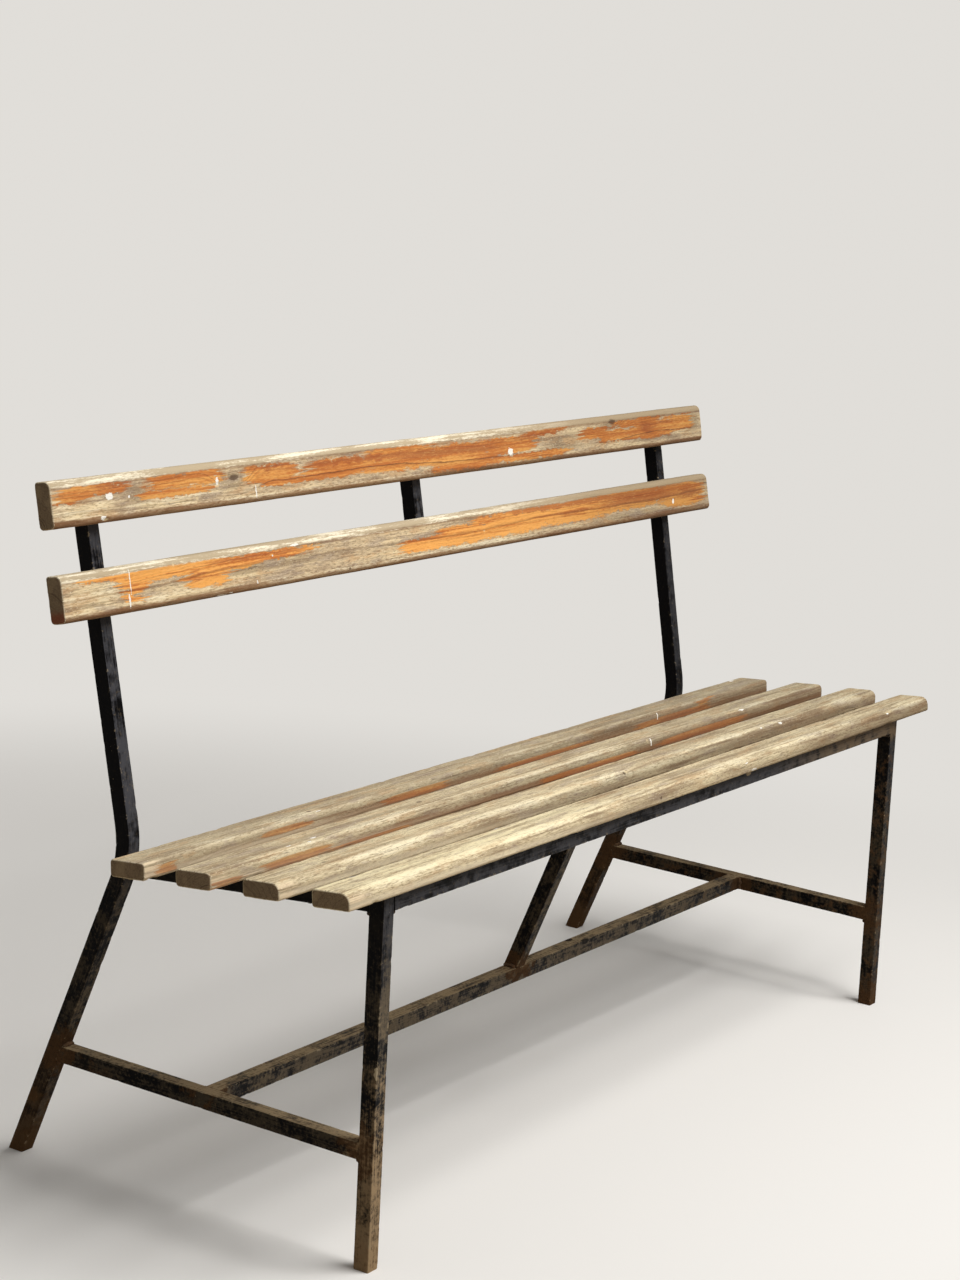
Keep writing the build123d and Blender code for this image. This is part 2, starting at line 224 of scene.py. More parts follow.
class Value:
    """An output socket that takes part in sums as a number does."""

    def __init__(self, net, socket):
        self.net, self.socket = net, socket

    def __add__(self, other):
        return self.net.sum("ADD", self, other)

    def __radd__(self, other):
        return self.net.sum("ADD", other, self)

    def __sub__(self, other):
        return self.net.sum("SUBTRACT", self, other)

    def __rsub__(self, other):
        return self.net.sum("SUBTRACT", other, self)

    def __mul__(self, other):
        return self.net.sum("MULTIPLY", self, other)

    def __rmul__(self, other):
        return self.net.sum("MULTIPLY", other, self)

    def __truediv__(self, other):
        return self.net.sum("DIVIDE", self, other)

    def __neg__(self):
        return self.net.sum("MULTIPLY", self, -1.0)


class Net:
    """A node tree, with short ways to add to it."""

    def __init__(self, tree):
        self.tree = tree

    def node(self, kind, values=(), **settings):
        """Adds a node with its settings and its inputs, given by name or number."""
        made = self.tree.nodes.new(kind)
        for name, setting in settings.items():
            setattr(made, name, setting)
        for key, value in dict(values).items():
            self.put(made.inputs[key], value)
        return made

    def put(self, socket, value):
        """Links an output to an input, or sets the input's own value."""
        if isinstance(value, Value):
            self.tree.links.new(value.socket, socket)
        elif socket.type == "VECTOR" and isinstance(value, (int, float)):
            socket.default_value = (value, value, value)
        elif socket.type == "RGBA" and len(value) == 3:
            socket.default_value = (*value, 1.0)
        else:
            socket.default_value = value

    def get(self, kind, values=(), out=0, **settings):
        """Adds a node and returns one of its outputs."""
        return Value(self, self.node(kind, values, **settings).outputs[out])

    def sum(self, operation, *values, clamp=False):
        """A Math node, or a Vector Math node where a vector takes part."""
        kinds = [value.socket.type if isinstance(value, Value) else type(value) for value in values]
        if any(kind in ("VECTOR", Vector, tuple) for kind in kinds):
            return self.vector(operation, *values)
        return self.get("ShaderNodeMath", dict(enumerate(values)), operation=operation, use_clamp=clamp)

    def vector(self, operation, *values):
        out = "Value" if operation in ("LENGTH", "DISTANCE", "DOT_PRODUCT") else "Vector"
        return self.get("ShaderNodeVectorMath", dict(enumerate(values)), out, operation=operation)

    def join(self, x=0.0, y=0.0, z=0.0):
        return self.get("ShaderNodeCombineXYZ", {0: x, 1: y, 2: z})

    def split(self, vector):
        parts = self.node("ShaderNodeSeparateXYZ", {0: vector})
        return [Value(self, parts.outputs[i]) for i in range(3)]

    def slope(self, value, low, high):
        """0 below low, 1 above high and smooth between. High may be the lower one."""
        if low > high:
            return 1.0 - self.slope(value, high, low)
        return self.get(
            "ShaderNodeMapRange", {"Value": value, 1: low, 2: high}, interpolation_type="SMOOTHSTEP"
        )

    def noise(self, place, scale, detail=2.0, roughness=0.5, distortion=0.0):
        """Noise from 0 to 1. The scale may differ by axis, in features a metre."""
        values = {"Vector": self.vector("MULTIPLY", place, scale), "Scale": 1.0}
        values.update({"Detail": detail, "Roughness": roughness, "Distortion": distortion})
        return self.get("ShaderNodeTexNoise", values)

    def mix(self, factor, first, second):
        values = {0: factor, 6: first, 7: second}
        return self.get("ShaderNodeMix", values, 2, data_type="RGBA")

    def shade(self, tone, value):
        """A colour made lighter or darker."""
        values = {0: 1.0, 6: tone, 7: value}
        return self.get("ShaderNodeMix", values, 2, data_type="RGBA", blend_type="MULTIPLY")

    def spots(self, place, spots, square=False):
        """1 in the middle of each spot, falling to 0 at its rim. Spots are in millimetres, round
        or nearly square."""
        levels = []
        for centre, size in spots:
            away = self.vector("SUBTRACT", place, tuple(value / 1000 for value in centre))
            away = self.vector("MULTIPLY", away, tuple(1000 / value for value in size))
            if square:
                away = self.vector("MULTIPLY", away, away)
                far = self.sum("POWER", self.vector("DOT_PRODUCT", away, away), 0.25)
            else:
                far = self.vector("LENGTH", away)
            levels.append(self.sum("SUBTRACT", 1.0, far))
        return self.highest(*levels)

    def highest(self, first, *others):
        for other in others:
            first = self.sum("MAXIMUM", first, other)
        return first

    def cover(self, tone, *layers):
        """Lays colours over a tone, one after the other, each as thick as its factor says."""
        for factor, colour in layers:
            tone = self.mix(factor, tone, colour)
        return tone


def shader_net(name):
    """A new material, its net and its surface shader."""
    material = bpy.data.materials.new(name)
    material.use_nodes = True
    return material, Net(material.node_tree), material.node_tree.nodes["Principled BSDF"]


def dress(net, surface, tone, rough, height, strength, distance):
    """Gives a surface its colour, its roughness and a bump of a depth in metres."""
    net.put(surface.inputs["Base Color"], tone)
    net.put(surface.inputs["Roughness"], rough)
    values = {"Strength": strength, "Distance": distance, "Height": height}
    net.put(surface.inputs["Normal"], net.get("ShaderNodeBump", values))


def geometry_net(name, inputs):
    """A new Geometry Nodes tree and its named inputs as values."""
    tree = bpy.data.node_groups.new(name, "GeometryNodeTree")
    tree.interface.new_socket("Geometry", in_out="INPUT", socket_type="NodeSocketGeometry")
    for label, kind in inputs.items():
        tree.interface.new_socket(label, in_out="INPUT", socket_type="NodeSocket" + kind)
    tree.interface.new_socket("Geometry", in_out="OUTPUT", socket_type="NodeSocketGeometry")
    net = Net(tree)
    entry = net.node("NodeGroupInput")
    given = {label: Value(net, entry.outputs[label]) for label in ("Geometry", *inputs)}
    return net, given


def close_tree(net, geometry, material, sharp=35):
    """Ends a tree: crisp where faces meet at an angle, realized, with its material."""
    bent = {0: net.get("GeometryNodeInputMeshEdgeAngle"), 1: math.radians(sharp)}
    crisp = net.get("FunctionNodeCompare", bent, operation="GREATER_THAN")
    smooth = {"Geometry": geometry, "Shade Smooth": True}
    geometry = net.get("GeometryNodeSetShadeSmooth", smooth, domain="FACE")
    smooth = {"Geometry": geometry, "Selection": crisp, "Shade Smooth": False}
    geometry = net.get("GeometryNodeSetShadeSmooth", smooth, domain="EDGE")
    geometry = net.get("GeometryNodeRealizeInstances", {"Geometry": geometry})
    geometry = net.get("GeometryNodeSetMaterial", {"Geometry": geometry, "Material": material})
    net.put(net.node("NodeGroupOutput").inputs["Geometry"], geometry)


def guide(name, points, edges=()):
    """A mesh of points and edges that a tree builds on."""
    mesh = bpy.data.meshes.new(name)
    mesh.from_pydata([tuple(point) for point in points], edges, [])
    item = bpy.data.objects.new(name, mesh)
    bpy.context.scene.collection.objects.link(item)
    return item


def run_tree(piece, net, values):
    """Runs a tree on a guide and keeps the result as the guide's own plain mesh."""
    modifier = piece.modifiers.new("Shape", "NODES")
    modifier.node_group = net.tree
    for item in net.tree.interface.items_tree:
        if item.in_out == "INPUT" and item.name in values:
            value = values[item.name]
            modifier[item.identifier] = list(value) if isinstance(value, Vector) else value
    depsgraph = bpy.context.evaluated_depsgraph_get()
    mesh = bpy.data.meshes.new_from_object(piece.evaluated_get(depsgraph), depsgraph=depsgraph)
    piece.modifiers.remove(modifier)
    piece.data = mesh
    mesh.name = piece.name
    if not mesh.polygons:
        raise RuntimeError(f"{piece.name} has no faces")


def hand_over(piece, slot, *nodes):
    """Lets a finished piece stand for its CAD nodes."""
    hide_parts(*nodes)
    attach(piece, "root")


def capture(net, geometry, **fields):
    """Keeps fields on a curve's points, for use on the mesh that it is swept into."""
    node = net.node("GeometryNodeCaptureAttribute", domain="POINT")
    for name, field in fields.items():
        kind = "VECTOR" if field.socket.type == "VECTOR" else "FLOAT"
        node.capture_items.new(kind, name)
    net.put(node.inputs["Geometry"], geometry)
    for name, field in fields.items():
        net.put(node.inputs[name], field)
    return Value(net, node.outputs["Geometry"]), [Value(net, node.outputs[name]) for name in fields]


def keep(net, geometry, name, field):
    """Stores a field for the material to read."""
    kind = "FLOAT_VECTOR" if field.socket.type == "VECTOR" else "FLOAT"
    values = {"Geometry": geometry, "Name": name, "Value": field}
    return net.get("GeometryNodeStoreNamedAttribute", values, data_type=kind, domain="POINT")


def move(net, geometry, place=None, offset=None):
    values = {"Geometry": geometry}
    values.update({"Position": place} if place else {"Offset": offset})
    return net.get("GeometryNodeSetPosition", values)


# ---------------------------------------------------------------- wood

FRONT = 23  # the front face of a back slat, in millimetres ahead of the posts
DEPTH = 12  # how deep a patch on that face reaches


def on_face(*rows):
    """Patches on a back slat's face: each one's place along and across it, and its half sizes."""
    return tuple(((along, across, FRONT), (long, wide, DEPTH)) for along, across, long, wide in rows)


# What is particular to each slat. A spot is a middle and half sizes in millimetres: along the slat
# from the frame's middle, across it from its lower or front edge, and up from the face that lies
# on the metal. Corners are radii and the heart is the pith, in millimetres too. The rest are
# shares from 0 to 1, in the order they stand: painted shade that makes a seat slat greyer and
# darker, most at the back; the dark on the lower edge, partly stain and partly painted shade;
# left, painted light at the left, as a yellow on the top and a pale at the foot; and dull,
# painted shade on the front's middle and its right.
BOARDS = {
    "seat_slat_1": dict(
        seed=1, rings=1.0, corners=(3.5, 12, 5, 3.5), heart=(-14, -26),
        grey_painted_shade=0.0, low_stain_and_shade=0.12, left=(0.5, 0.5), dull=(0.08, 0.27),
        pale=(
            ((-420, 9, 20), (380, 9, 9)), ((300, 10, 20), (260, 7, 9)),
            ((700, 10, 19), (60, 12, 8)),
        ),
        dark=(
            ((560, 8, 16), (70, 6, 7)), ((120, 30, 21), (260, 7, 6)), ((-300, 34, 21), (330, 5, 6)),
        ),
        knots=(((-67, 0, 8), (3, 3, 2.6)), ((448, 5, 14), (6, 4, 4))),
        white=(
            ((620, 2, 17), (4, 2, 1.6)), ((171, 0, 15), (5, 2, 1.6)), ((190, 0, 3), (9, 3, 1.6)),
        ),
        nicks=(((256, 4, 13), (3, 3, 3)), ((-322, 14, 21), (2, 5, 4)), ((625, 4, 18), (14, 3, 3))),
    ),
    "seat_slat_2": dict(
        seed=2, rings=1.0, corners=(3.5, 11, 5, 3.5), heart=(62, -18),
        grey_painted_shade=0.12, low_stain_and_shade=0.2, left=(0.08, 0.42), dull=(0.3, 0.09),
        pale=(
            ((-330, 8, 20), (420, 8, 8)), ((330, 9, 20), (200, 6, 7)), ((690, 10, 19), (50, 14, 8)),
        ),
        dark=(
            ((-560, 16, 21), (120, 5, 5)), ((120, 36, 21), (300, 6, 5)), ((470, 1, 9), (230, 5, 6)),
        ),
        knots=(((9, 3, 19), (4, 4, 5)), ((-640, 22, 21), (4, 2.5, 4))),
        white=(((459, 2, 19), (6, 2.5, 3)), ((402, 4, 20), (3, 1.5, 3))),
        nicks=(((16, 5, 19), (3, 6, 5)), ((352, 8, 21), (2, 6, 5))),
    ),
    "seat_slat_3": dict(
        seed=3, rings=1.0, corners=(5, 7, 6, 5), heart=(-10, -30),
        grey_painted_shade=0.25, low_stain_and_shade=0.95, left=(0.0, 0.55), dull=(0.27, 0.17),
        varnish=(
            ((-724, 0, 4), (34, 4, 5)), ((-590, 0, 8), (66, 4, 6)), ((-440, 0, 4), (90, 4, 3)),
            ((80, 0, 7), (130, 4, 4)), ((400, 0, 8), (130, 4, 6)),
        ),
        red=(((-640, 0, 3), (60, 6, 4)), ((20, 0, 3), (220, 5, 5)), ((350, 0, 5), (120, 5, 5))),
        pale=(
            ((-520, 8, 20), (230, 7, 6)), ((-60, 8, 20), (330, 6, 6)), ((610, 8, 20), (120, 6, 7)),
        ),
        dark=(
            ((-640, 17, 21), (80, 8, 6)), ((-430, 24, 21), (160, 5, 5)), ((570, 2, 8), (60, 4, 6)),
        ),
        knots=(((-300, 26, 21), (6, 3.5, 6)),),
        white=(
            ((243, 1, 14), (1.8, 3, 6)), ((520, 4, 20), (6, 2.5, 4)), ((-592, 12, 21), (5, 1.5, 4)),
            ((-540, 15, 21), (6, 2, 4)), ((-560, 6, 20), (3, 1.5, 4)),
        ),
        nicks=(((234, 3, 16), (6, 4, 5)), ((500, 6, 20), (40, 4, 3))),
    ),
    "seat_slat_4": dict(
        seed=4, rings=1.0, corners=(4, 5, 4, 4), heart=(66, -22),
        grey_painted_shade=0.55, low_stain_and_shade=0.85, left=(0.0, 0.45), dull=(0.22, 0.15),
        varnish=(
            ((-712, 0, 9), (22, 4, 6)), ((-485, 0, 12), (44, 4, 4)), ((-205, 0, 9), (76, 4, 5)),
            ((110, 0, 7), (130, 4, 3)), ((480, 0, 8), (120, 4, 5)), ((580, 2, 17), (18, 3, 5)),
        ),
        red=(((-300, 0, 4), (160, 5, 5)), ((0, 0, 4), (300, 5, 5)), ((500, 0, 6), (90, 5, 6))),
        pale=(
            ((120, 6, 21), (150, 6, 6)), ((-520, 10, 21), (190, 7, 6)), ((300, 5, 20), (300, 5, 5)),
        ),
        dark=(
            ((-380, 38, 21), (260, 8, 5)), ((-560, 3, 8), (90, 4, 6)), ((240, 40, 21), (300, 6, 5)),
        ),
        knots=(((-420, 14, 21), (5, 3, 6)),),
        white=(
            ((430, 2, 14), (1.8, 3, 7)), ((744, 44, 20), (6, 3, 6)), ((-412, 6, 21), (5, 1.6, 4)),
        ),
        nicks=(((-60, 6, 20), (3, 5, 5)),),
    ),
    "lower_back_slat": dict(
        seed=5, rings=1.3, corners=(5, 6, 9, 3.5), heart=(-12, -16),
        grey_painted_shade=0.0, amber=0.38, shaded="right", red_end=True,
        varnish=on_face(
            (-676, 45, 58, 4), (-642, 34, 26, 12), (-638, 20, 15, 10), (-578, 41, 60, 9),
            (-502, 32, 44, 18), (-440, 38, 50, 8), (-362, 40, 62, 6), (-306, 42, 36, 3),
            (-30, 21, 58, 9), (60, 25, 60, 14), (190, 30, 110, 17), (360, 32, 110, 17),
            (520, 35, 120, 15), (690, 30, 72, 19),
        ),
        red=(((-524, 30, FRONT), (12, 9, 14)), *on_face(
            (-400, 42, 110, 4), (330, 44, 240, 5), (560, 38, 150, 13), (710, 34, 40, 12),
        )),
        pale=(
            ((-712, 23, FRONT), (60, 30, 8)), ((-140, 5, 21), (500, 5, 8)),
            ((-560, 9, 22), (160, 8, 8)),
        ),
        dark=(
            ((520, 9, 21), (140, 8, 8)), ((-360, 27, FRONT), (120, 5, 6)),
            ((-260, 46, FRONT), (70, 3, 6)),
        ),
        knots=(((-205, 6, 21), (4, 2.5, 5)),),
        white=(
            ((-647, 14, FRONT), (1.8, 8, 4)), ((-643, 36, FRONT), (0.9, 16, 4)),
            ((-474, 1.5, 19), (16, 0.8, 3)), ((-455, 2.5, 20), (5, 0.8, 3)),
            ((-402, 10, FRONT), (1, 2.6, 4)), ((-366, 39, FRONT), (1.6, 1.3, 4)),
            ((-318, 48, 22), (9, 1.6, 4)), ((658, 21, FRONT), (3, 4, 4)),
        ),
        nicks=(
            ((-560, 48, 22), (3, 3, 5)), ((120, 25, FRONT), (3, 2, 4)),
            ((-745, 10, FRONT), (2, 2, 4)),
        ),
    ),
    "upper_back_slat": dict(
        seed=6, rings=1.6, corners=(5, 6, 9, 3.5), heart=(-4, -14),
        grey_painted_shade=0.0, ring_line=0.9, shaded="all",
        varnish=on_face(
            (-693, 39, 66, 7), (-730, 31, 26, 4), (-540, 25, 74, 5), (-520, 39, 78, 9),
            (-350, 34, 58, 11), (-318, 21, 70, 4), (-210, 30, 72, 13), (-60, 32, 92, 17),
            (90, 24, 92, 19), (208, 31, 72, 12), (250, 12, 120, 5), (306, 44, 62, 5),
            (446, 32, 50, 9), (500, 25, 60, 8), (570, 41, 78, 6), (616, 27, 66, 13),
            (700, 33, 46, 12),
        ),
        red=on_face(
            (-650, 42, 40, 5), (-330, 43, 66, 4), (-180, 37, 160, 5), (60, 33, 150, 7),
            (300, 41, 90, 6), (600, 31, 26, 14),
        ),
        pale=(
            ((-700, 15, FRONT), (60, 14, 8)), ((-300, 4, 21), (420, 5, 8)),
            ((-560, 13, FRONT), (90, 7, 8)),
        ),
        dark=(
            ((-612, 28, FRONT), (26, 13, 8)), ((-428, 31, FRONT), (26, 12, 8)),
            ((352, 25, FRONT), (52, 13, 6)), ((498, 44, FRONT), (34, 5, 8)),
            ((744, 32, FRONT), (22, 17, 8)),
        ),
        knots=(((-426, 34, FRONT), (12, 5, 6)), ((498, 46, FRONT), (13, 5, 6))),
        white=(
            ((-662, 30, FRONT), (6.5, 4.5, 4)), ((-627, 27, FRONT), (1.8, 1.6, 3)),
            ((209, 21, FRONT), (7, 5.5, 4)), ((-384, 13, FRONT), (1.2, 8, 3)),
            ((-459, 32, FRONT), (3, 5, 3)), ((-676, 6, 22), (5, 3, 4)),
        ),
        nicks=(
            ((-459, 27, FRONT), (6, 5, 4)), ((-672, 4, 21), (7, 3, 5)),
            ((-500, 15, FRONT), (4, 3, 4)),
        ),
    ),
}


def late_wood(net, place, board, ring_width):
    """1 on the hard, dark line that ends each growth ring, and less on the weaker ones. The
    rings lie round a pith that wanders along the slat, and bulge round its knots."""
    heart_y, heart_z = (value / 1000 for value in board["heart"])
    _, across, up = net.split(place)
    seeded = place + Vector((board["seed"] * 1.7, board["seed"] * 0.3, 0))
    drift = (net.noise(seeded, (1.8, 5, 5), 1) - 0.5) * 0.030
    sway = (net.noise(seeded + Vector((9, 0, 0)), (1.4, 5, 5), 1) - 0.5) * 0.024
    wobble = (net.noise(seeded, (14, 80, 80), 3, 0.6) - 0.5) * 0.0052
    reach = net.sum("POWER", across - heart_y + drift, 2.0) + net.sum("POWER", up - heart_z + sway, 2.0)
    knots = [(centre, tuple(value * 7 for value in size)) for centre, size in board["knots"]]
    swell = net.sum("POWER", net.sum("MAXIMUM", net.spots(place, knots), 0.0), 2.0)
    reach = net.sum("SQRT", reach) + wobble + swell * 0.026
    bunched = (net.noise(net.join(reach, board["seed"], 0), (120, 1, 1), 2) - 0.5) * 0.011
    ring = (reach + bunched) / (ring_width * board["rings"])
    number = net.sum("FLOOR", ring)
    spot = ring - number
    chance = {"W": number + board["seed"] * 31.0}
    strength = net.get("ShaderNodeTexWhiteNoise", chance, noise_dimensions="1D")
    return net.slope(spot, 0.35, 0.88) * net.slope(spot, 1.0, 0.93) * (strength * strength * 0.9 + 0.1)


def slat_tree(board, finish):
    """Sweeps a slat's section along its guide, wears its ends and edges and raises its grain."""
    inputs = {"Width": "Float", "Thickness": "Float", "Across": "Vector", "Offset": "Float"}
    inputs.update({"Left End": "Float", "Right End": "Float"})
    inputs.update({"Corner 1": "Float", "Corner 2": "Float", "Corner 3": "Float", "Corner 4": "Float"})
    inputs.update({"Rows": "Int", "Section Points": "Int", "Relief": "Float", "Chip Depth": "Float"})
    inputs.update({"Material": "Material"})
    net, given = geometry_net("Weathered slat", inputs)
    width, thickness = given["Width"], given["Thickness"]
    most_round, wave_depth, fibre_depth = 0.0045, 0.0012, 0.0003

    # path
    path = net.get("GeometryNodeMeshToCurve", {"Mesh": given["Geometry"]})
    path = net.get("GeometryNodeResampleCurve", {"Curve": path, "Count": given["Rows"]}, mode="COUNT")
    factor, run = (net.get("GeometryNodeSplineParameter", (), out) for out in (0, 1))
    path, (middle, direction, factor, run, whole) = capture(
        net,
        path,
        middle=net.get("GeometryNodeInputPosition"),
        direction=net.get("GeometryNodeInputTangent"),
        factor=factor,
        run=run,
        whole=net.get("GeometryNodeSplineLength"),
    )

    # section
    corners = ((0, 0), (0, thickness), (width, thickness), (width, 0))
    points = {socket: net.join(*corner) for socket, corner in enumerate(corners, 7)}
    section = net.get("GeometryNodeCurvePrimitiveQuadrilateral", points, mode="POINTS")
    radius = net.node("GeometryNodeIndexSwitch", data_type="FLOAT")
    for _ in range(2):  # for four corners in all
        radius.index_switch_items.new()
    net.put(radius.inputs[0], net.get("GeometryNodeInputIndex"))
    for number in range(4):
        net.put(radius.inputs[number + 1], given[f"Corner {number + 1}"])
    fillet = {"Curve": section, "Count": 8, "Radius": Value(net, radius.outputs[0])}
    section = net.get("GeometryNodeFilletCurve", fillet, mode="POLY")
    resample = {"Curve": section, "Count": given["Section Points"]}
    section = net.get("GeometryNodeResampleCurve", resample, mode="COUNT")
    section, (spot,) = capture(net, section, spot=net.get("GeometryNodeInputPosition"))
    values = {"Curve": path, "Profile Curve": section, "Fill Caps": True}
    geometry = net.get("GeometryNodeCurveToMesh", values)
    geometry = net.get("GeometryNodeFlipFaces", {"Mesh": geometry})

    # rows drawn closer near the ends, and the section drawn in where an end is worn round
    turn = factor * 2.0 - 1.0
    warped = turn * 0.08 + net.sum("SINE", turn * (math.pi / 2)) * 0.92
    along = whole * warped * 0.5
    across_spot, up_spot, _ = net.split(spot)
    wood = net.join(along + given["Offset"], across_spot, up_spot)
    wear = 0.75 + net.noise(wood + Vector((board["seed"], 0, 0)), 60, 1) * 0.5
    is_right = net.slope(along, -0.1, 0.1)
    end_round = (given["Left End"] + (given["Right End"] - given["Left End"]) * is_right) * wear
    from_end = whole * 0.5 - net.sum("ABSOLUTE", along)

    def inset(radius):
        short = net.sum("MAXIMUM", radius - from_end, 0.0)
        inside = net.sum("MAXIMUM", radius * radius - short * short, 0.0)
        return radius - net.sum("SQRT", inside)

    half_width, half_thickness = width * 0.5, thickness * 0.5
    side = across_spot - half_width
    lift = up_spot - half_thickness
    side_now = side * (1.0 - inset(end_round) / half_width) + half_width
    upright_round = net.sum("MINIMUM", end_round, most_round)
    lift_now = lift * (1.0 - inset(upright_round) / half_thickness) + half_thickness
    outward = net.vector("CROSS_PRODUCT", direction, given["Across"])
    place = middle + direction * (along + whole * 0.5 - run)
    place = place + given["Across"] * side_now + outward * lift_now
    geometry = move(net, geometry, place=place)

    # grain standing proud, soft waves, nicks and chipped edges
    hollow = (0.85 - late_wood(net, wood, board, finish.ring_width)) * given["Relief"]
    waves = (net.noise(wood + Vector((0, board["seed"], 0)), (7, 30, 30), 2) - 0.5) * wave_depth
    fibres = (net.noise(wood, (30, 420, 420), 2) - 0.5) * fibre_depth
    side_close = net.slope(net.sum("ABSOLUTE", side) / half_width, 0.62, 1.0)
    lift_close = net.slope(net.sum("ABSOLUTE", lift) / half_thickness, 0.35, 1.0)
    chipped = net.slope(net.noise(wood + Vector((board["seed"] * 2.1, 0, 0)), (34, 90, 90), 3), 0.56, 0.72)
    chips = side_close * lift_close * chipped
    nicks = net.slope(net.spots(wood, board["nicks"]), 0.0, 0.7)
    cuts = net.sum("MAXIMUM", chips, nicks) * given["Chip Depth"]
    inward = net.get("GeometryNodeInputNormal") * (0.0 - hollow - waves - fibres - cuts)
    geometry = move(net, geometry, offset=inward)

    geometry = keep(net, geometry, "wood", wood)
    close_tree(net, geometry, given["Material"])
    return net


def build_slat(name, finish, ends, values):
    board = BOARDS[name]
    piece = guide("weathered_" + name, ends, [(0, 1)])
    values.update({"Rows": finish.rows, "Section Points": finish.section_points})
    values.update({"Relief": finish.relief, "Chip Depth": finish.chip_depth})
    values.update({f"Corner {number}": size / 1000 for number, size in enumerate(board["corners"], 1)})
    run_tree(piece, slat_tree(board, finish), values)
    return piece


# Colours of the thinner layers on the wood.
PAINTED_SHADE_GREY, COOL_GREY = linear(150, 138, 118), linear(170, 152, 136)
WARM_SEAT, WARM_BACK = linear(198, 164, 122), linear(204, 160, 112)
BLEACHED_AND_HIGHLIGHT, PALE_FLECK, CRACK = linear(248, 236, 204), linear(246, 232, 200), linear(70, 50, 34)
CREAM_DULL, CREAM, CREAM_RIGHT_SHADE = linear(186, 167, 136), linear(248, 236, 208), linear(176, 154, 122)
PAINTED_LIGHT_TOP, PAINTED_LIGHT_FOOT, PALE_TIP = linear(246, 234, 190), linear(252, 238, 206), linear(250, 226, 190)
VARNISH_LIGHT, KNOT, NICK = linear(252, 196, 124), linear(74, 52, 36), linear(226, 204, 160)
END_RIM_HIGHLIGHT, END_RING, END_DARK = linear(238, 224, 192), linear(78, 60, 42), linear(100, 80, 60)
END_PALE, END_RED = linear(170, 148, 116), linear(140, 66, 36)


